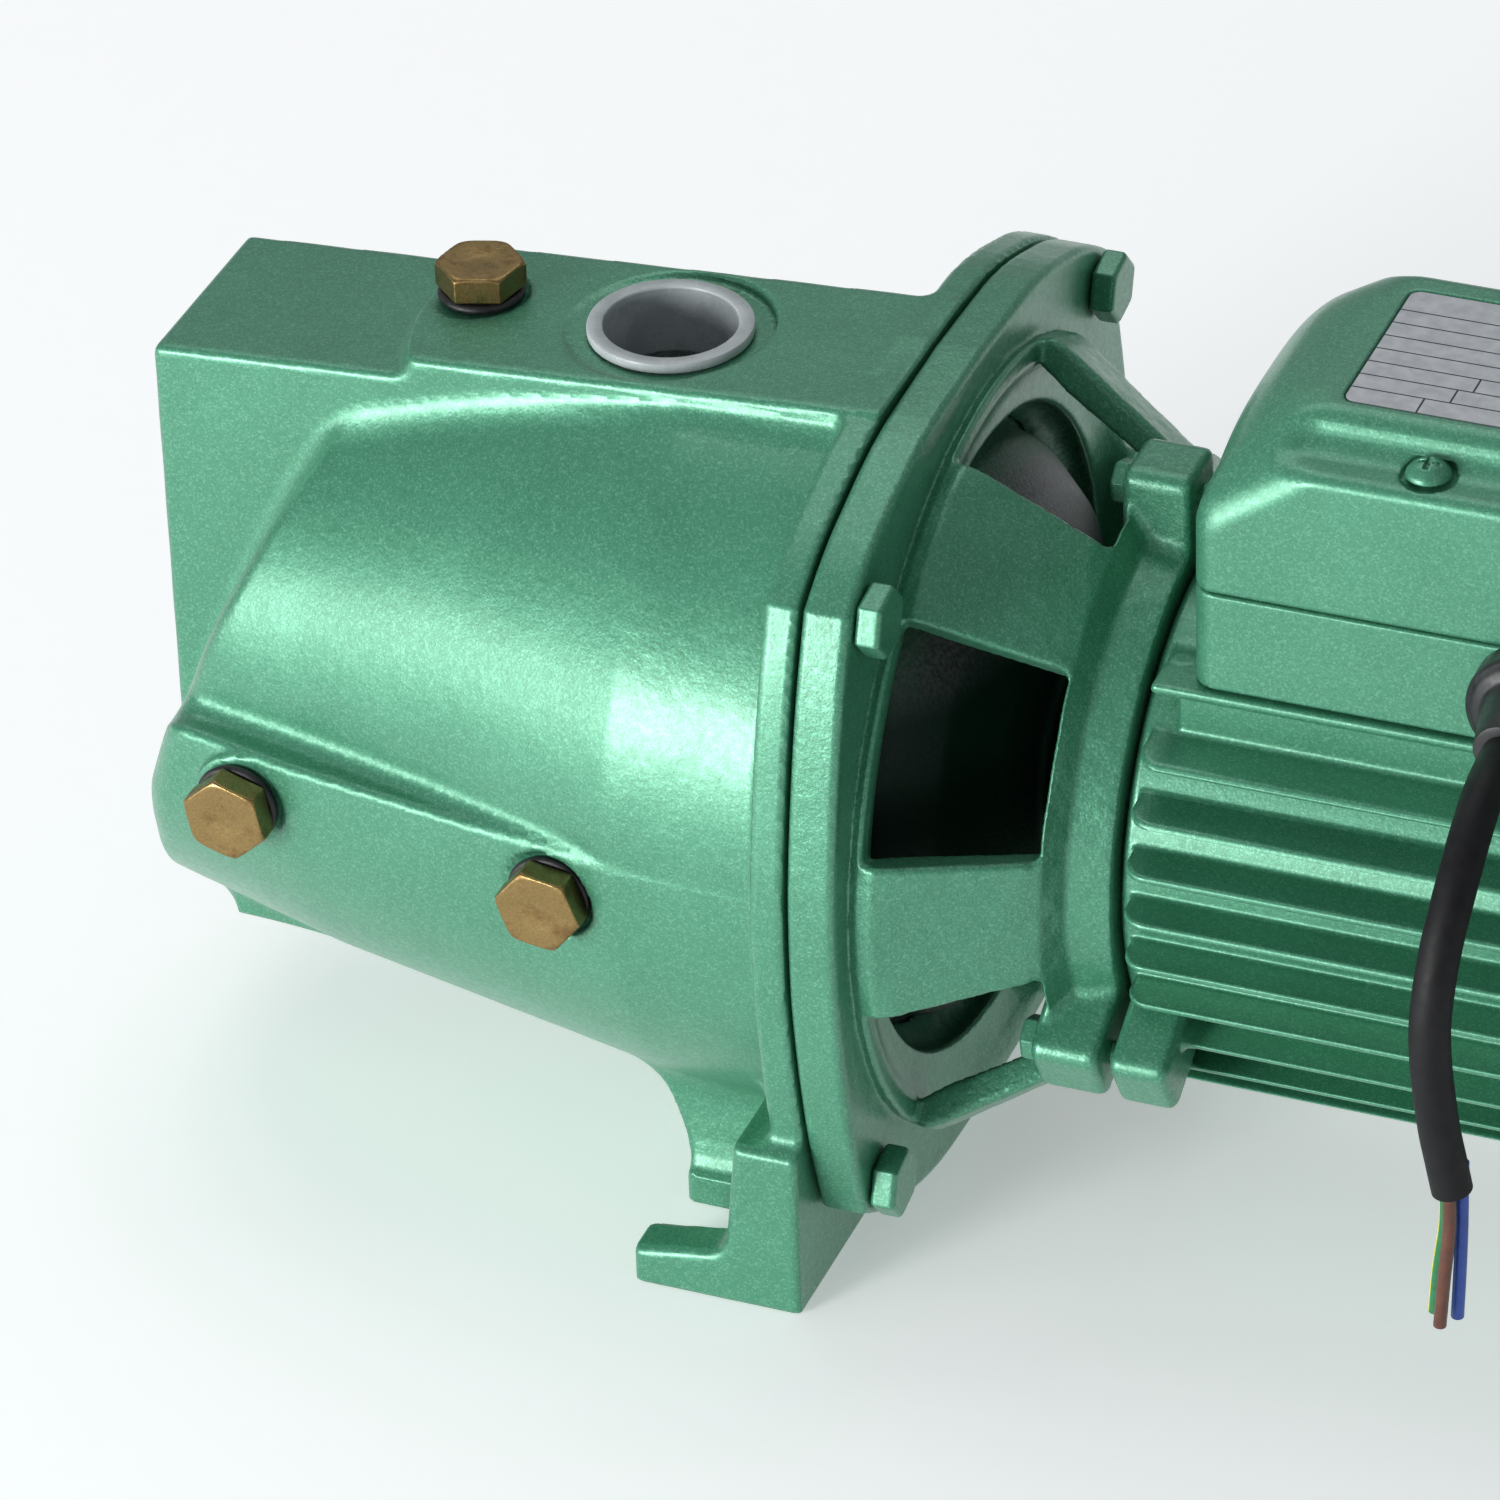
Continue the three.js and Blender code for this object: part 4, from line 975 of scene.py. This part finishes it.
def terminal_base():
    xs = ticks((65, 0.8), (73, 4), (157, 0.8), (165, 0))
    g = Grid(xs, ticks((-41, 0.8), (41, 0)), ticks((44, 0.8), (69, 0)))
    plan = rectangle(g.x - BOX_MID, g.y, *BOX_HALF, 5)
    field = meet(plan, slab(g.z, BOX_FOOT, BOX_SPLIT), 0.6)
    field = carve(field, g.radius - FRAME_R - 0.4)
    mesh = net_mesh("terminal_base_casting", field, g.axes)
    piece(mesh, "stationary", "painted_aluminium", SMOOTH_GREEN, "terminal_base")


def terminal_cover():
    g = Grid(ticks((65, 0.7), (165, 0)), ticks((-41, 0.7), (41, 0)), ticks((66, 0.7), (107, 0)))
    plan = rectangle(g.x - BOX_MID, g.y, *BOX_HALF, 5)
    out = (abs(g.y) / BOX_HALF[1]) ** 3
    shoulder, slope = 97.5 - 15.5 * out, 0.56 + 0.167 * out
    inward = BOX_HALF[0] - abs(g.x - BOX_MID)
    slant = (g.z - shoulder - slope * inward) / np.sqrt(1 + slope ** 2)
    field = meet(plan, slant, 10 - 6.5 * np.clip((abs(g.y) - 26) / 10, 0, 1))
    field = meet(meet(field, g.z - BOX_TOP, 3), BOX_SPLIT + 0.3 - g.z, 0.5)
    inner = np.where(g.y > 0, 61.5, 59).astype(np.float32)
    pocket = rectangle(g.x - BOX_MID, abs(g.y) - inner, 35.5, 30, 10) - (g.z - BOX_LEDGE) * 0.43
    field = carve(field, meet(BOX_LEDGE - g.z, pocket * 0.92, 3.5), 2.6)
    seat = rectangle(g.x - BOX_MID, g.y, 23.9, 21.7, 2.5)
    field = carve(field, np.maximum(seat, BOX_TOP - 0.8 - g.z), 0.3)
    for side in (-1, 1):
        hole = np.hypot(g.x - SCREW_X, g.y - side * SCREW_Y) - 5.4
        field = carve(field, np.maximum(hole, abs(g.z - BOX_LEDGE - 0.5) - 1.1), 0.3)
    mesh = net_mesh("terminal_cover_casting", field, g.axes)
    piece(mesh, "stationary", "painted_aluminium", SMOOTH_GREEN, "terminal_cover")


def cover_screws():
    for i, side in enumerate((-1, 1), 1):
        g = even_grid((-5.4, -5.4, -6), (5.4, 5.4, 4.6), 0.24)
        away = np.hypot(g.x, g.y)
        dome = meet(np.hypot(away, g.z + 1.6) - 5.2, slab(g.z, 0.3, 6), 0.3)
        dome = meet(dome, away - 4.6, 0.5)
        for u, v in ((g.x, g.y), (g.y, g.x)):
            slot = np.maximum(np.maximum(abs(u) - 2.5, abs(v) - 0.55), 2.0 - g.z + abs(u) * 0.4)
            dome = carve(dome, slot, 0.2)
        field = np.minimum(dome, np.maximum(away - 1.9, slab(g.z, -5.5, 1)))
        shift = (SCREW_X, side * SCREW_Y, BOX_LEDGE)
        axes = [axis + offset for axis, offset in zip(g.axes, shift)]
        mesh = net_mesh(f"cover_screw_{i}_head", field, axes)
        piece(mesh, "stationary", "painted_steel", SMOOTH_GREEN, f"cover_screw_{i}")


def nameplate():
    half_x, half_y = PLATE_HALF
    r, steps = 2.2, 6
    ring = []
    for cx, cy, start in ((1, 1, 0), (-1, 1, 90), (-1, -1, 180), (1, -1, 270)):
        for i in range(steps + 1):
            angle = math.radians(start + 90 * i / steps)
            x = BOX_MID + cx * (half_x - r) + r * math.cos(angle)
            ring.append((x, cy * (half_y - r) + r * math.sin(angle)))
    levels = [(BOX_TOP - 0.5, 0), (BOX_TOP - 0.2, 0), (BOX_TOP - 0.1, 0.15)]
    verts, n = [], len(ring)
    for z, inset in levels:
        verts += [in_frame(x + (BOX_MID - x) * inset / half_x, y * (1 - inset / half_y), z) for x, y in ring]
    faces = [tuple(range(n))[::-1], tuple(range(2 * n, 3 * n))]
    for level in range(2):
        a = level * n
        faces += [(a + j, a + (j + 1) % n, a + n + (j + 1) % n, a + n + j) for j in range(n)]
    mesh = bpy.data.meshes.new("nameplate_sheet")
    mesh.from_pydata(verts, [], faces)
    piece(mesh, "stationary", "plate_aluminium", nameplate_print(in_frame(BOX_MID, 0, 0).x), "nameplate")


def gland():
    profile = [(-5, 0), (-5, 7.8), (0.3, 7.8), (0.3, 12.2), (6.4, 12.2), (7.2, 11.2), (8, 10.4), (8.6, 8.4),
               (12, 7.6), (21, 6), (21, 0)]
    mesh = lathe_mesh("cable_gland_moulding", profile, GLAND, (0, -1, 0), 0.6)
    piece(mesh, "stationary", "black_plastic", BLACK_PLASTIC, "cable_gland")


# ---------------------------------------------------------------- mains lead
LEAD_R = 4
CORE_R = 1.3
LEAD_ROUTE = [(136, -60.8, 58.3), (136.1, -66.5, 58.3), (136.4, -74.2, 57.5), (136.8, -81.5, 55.1),
              (137, -88.2, 51.2), (136.9, -94, 46.1), (136.5, -98.5, 39.8), (136.2, -101.7, 32.7),
              (136, -103.3, 25.2), (136.3, -103.6, 17), (137.1, -103.5, 9), (138.1, -103.2, 1),
              (139.3, -102.7, -6), (140.4, -102.2, -12.5)]
CORES = [("core_earth", "core_green_yellow", -1.6, 1.2), ("core_neutral", "core_blue", 1.7, 1.0),
         ("core_live", "core_brown", 0.1, -1.8)]


def smooth_route(points, per_span=8):
    """The whole route in the row frame, its last point included."""
    places = [in_frame(*point) for point in points]
    return [*smooth_curve(places, per_span), places[-1]]


def tube_mesh(name, route, radius, sides, stripe=0):
    """A closed tube along a route in metres, with domed ends and that many striped sides."""
    side = (route[1] - route[0]).orthogonal().normalized()
    rows = []
    dome = (0.55, 0.9)
    for i, here in enumerate(route):
        way = (route[min(i + 1, len(route) - 1)] - route[max(i - 1, 0)]).normalized()
        side = (side - way * side.dot(way)).normalized()
        rows.append((here, way, side, radius))
    first, last = rows[0], rows[-1]
    start = [(*first[:3], radius * share) for share in dome]
    stop = [(*last[:3], radius * share) for share in reversed(dome)]
    rows = [*start, *rows, *stop]
    verts, faces = [], []
    for here, way, across, r in rows:
        other = way.cross(across)
        for j in range(sides):
            angle = 2 * math.pi * j / sides
            verts.append(here + (across * math.cos(angle) + other * math.sin(angle)) * r)
    for i in range(len(rows) - 1):
        for j in range(sides):
            k = (j + 1) % sides
            faces.append((i * sides + j, i * sides + k, (i + 1) * sides + k, (i + 1) * sides + j))
    top = (len(rows) - 1) * sides
    faces += [tuple(range(sides))[::-1], tuple(range(top, top + sides))]
    mesh = bpy.data.meshes.new(name)
    mesh.from_pydata(verts, [], faces)
    mesh.shade_smooth()
    mesh.set_sharp_from_angle(angle=math.radians(50))
    for face in mesh.polygons:
        if stripe and len(face.vertices) == 4 and face.index % sides < stripe:
            face.material_index = 1
    return mesh


def mains_lead():
    route = smooth_route(LEAD_ROUTE)
    jacket = tube_mesh("lead_jacket", route, LEAD_R * MM, 32)
    lead = piece(jacket, "stationary", "lead_jacket", JACKET, "lead")
    x, y, z = LEAD_ROUTE[-1]
    for name, slot, dx, dy in CORES:
        points = [(x + dx, y + dy, z + 6), (x + dx, y + dy, z - 0.9), (x + dx, y + dy, z - 9),
                  (x - 0.8 + 1.3 * dx, y + 1.2 * dy, z - 20),
                  (x - 1.6 + 1.4 * dx, y + 0.7 + 1.4 * dy, z - 31)]
        striped = 7 if name == "core_earth" else 0
        mesh = tube_mesh(name + "_insulation", smooth_route(points, 6), CORE_R * MM, 20, striped)
        core = piece(mesh, "stationary", slot, CORE_LOOKS[name], name)
        if striped:
            core.data.materials.append(CORE_LOOKS["yellow"])


# ---------------------------------------------------------------- finishes used by the pieces
CAST_GREEN = green_paint("green_on_cast_iron", 0.10, 0.075)
BRACKET_GREEN = green_paint("green_on_rough_iron", 0.30, 0.13)
SMOOTH_GREEN = green_paint("green_on_aluminium", 0.04, 0.045)
BRONZE = bronze()
# the wall and cup are clearer than the rim, and their colours are also painted darker: painted shade deep
# inside the port
CAP_RIM = cap_plastic("cap_rim", (0.55, 0.60, 0.61), (0.68, 0.73, 0.74), 0.25)
CAP_WALL = cap_plastic("cap_wall", (0.42, 0.47, 0.48), (0.52, 0.57, 0.58), 0.45)
CAP_CUP = cap_plastic("cap_cup", (0.36, 0.40, 0.41), (0.46, 0.50, 0.51), 0.85)
BLASTED = blasted_plate()
RUBBER = dull("black_rubber", (0.006, 0.006, 0.007), (0.014, 0.014, 0.015), 0.7, 0.35, 0.6, 0.03)
BLACK_PLASTIC = dull("black_plastic", (0.010, 0.011, 0.012), (0.020, 0.021, 0.023), 0.8, 0.35, 0.55, 0.04)
JACKET = dull("lead_jacket", (0.004, 0.004, 0.005), (0.008, 0.008, 0.009), 0.9, 0.5, 0.62, 0.03,
              shine=0.25)
ZINC = turned_metal("zinc_steel", (0.42, 0.42, 0.40), (0.60, 0.60, 0.57), 0.25, 0.42)
OVERSPRAYED = green_paint("green_on_zinc", 0.03, 0.03)
CORE_LOOKS = {
    "core_earth": dull("core_green", (0.012, 0.16, 0.05), (0.02, 0.20, 0.07), 0.5, 0.3, 0.45, 0.02),
    "yellow": dull("core_yellow", (0.62, 0.56, 0.03), (0.72, 0.66, 0.05), 0.5, 0.3, 0.45, 0.02),
    "core_neutral": dull("core_blue", (0.010, 0.05, 0.30), (0.014, 0.07, 0.36), 0.5, 0.3, 0.45, 0.02),
    "core_live": dull("core_brown", (0.085, 0.028, 0.014), (0.12, 0.040, 0.02), 0.5, 0.3, 0.45, 0.02),
}


def inner_pieces():
    """CAD nodes whose shape stays, most of them inside the pump and the motor."""
    steel = turned_metal("ground_steel", (0.36, 0.37, 0.39), (0.56, 0.57, 0.59), 0.2, 0.36)
    brass = turned_metal("cast_brass", (0.42, 0.29, 0.09), (0.60, 0.44, 0.17), 0.25, 0.42)
    moulded = dull("moulded_plastic", (0.30, 0.29, 0.26), (0.36, 0.35, 0.31), 1.2, 0.35, 0.5, 0.04)
    ceramic = dull("seal_ceramic", (0.60, 0.58, 0.53), (0.68, 0.66, 0.61), 0.6, 0.15, 0.28, 0.01)
    looks = {
        steel: ["shaft", "impeller_nut", "impeller_key", "seal_spring", "front_bearing_outer",
                "front_bearing_inner", "rear_bearing_outer", "rear_bearing_inner"],
        brass: ["ejector_nozzle", "impeller"],
        moulded: ["venturi_tube", "diffuser"],
        ceramic: ["seal_seat"],
        RUBBER: ["body_gasket", "seal_head", "slinger"],
        laminations(): ["stator_core", "rotor_core"],
        copper_wire(): ["winding_front", "winding_rear"],
        BLACK_PLASTIC: ["fan", "terminal_block", "capacitor"],
    }
    for material, names in looks.items():
        for name in names:
            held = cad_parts[name].data.materials
            held.clear()
            held.append(material)


# ---------------------------------------------------------------- the scene
make_camera()
make_lights()
make_floor()
mains_lead()
pump_body()
closures()
bracket()
bolts()
seal_plate()
motor_frame()
rear_shield()
fan_cover()
terminal_base()
terminal_cover()
cover_screws()
nameplate()
gland()
inner_pieces()
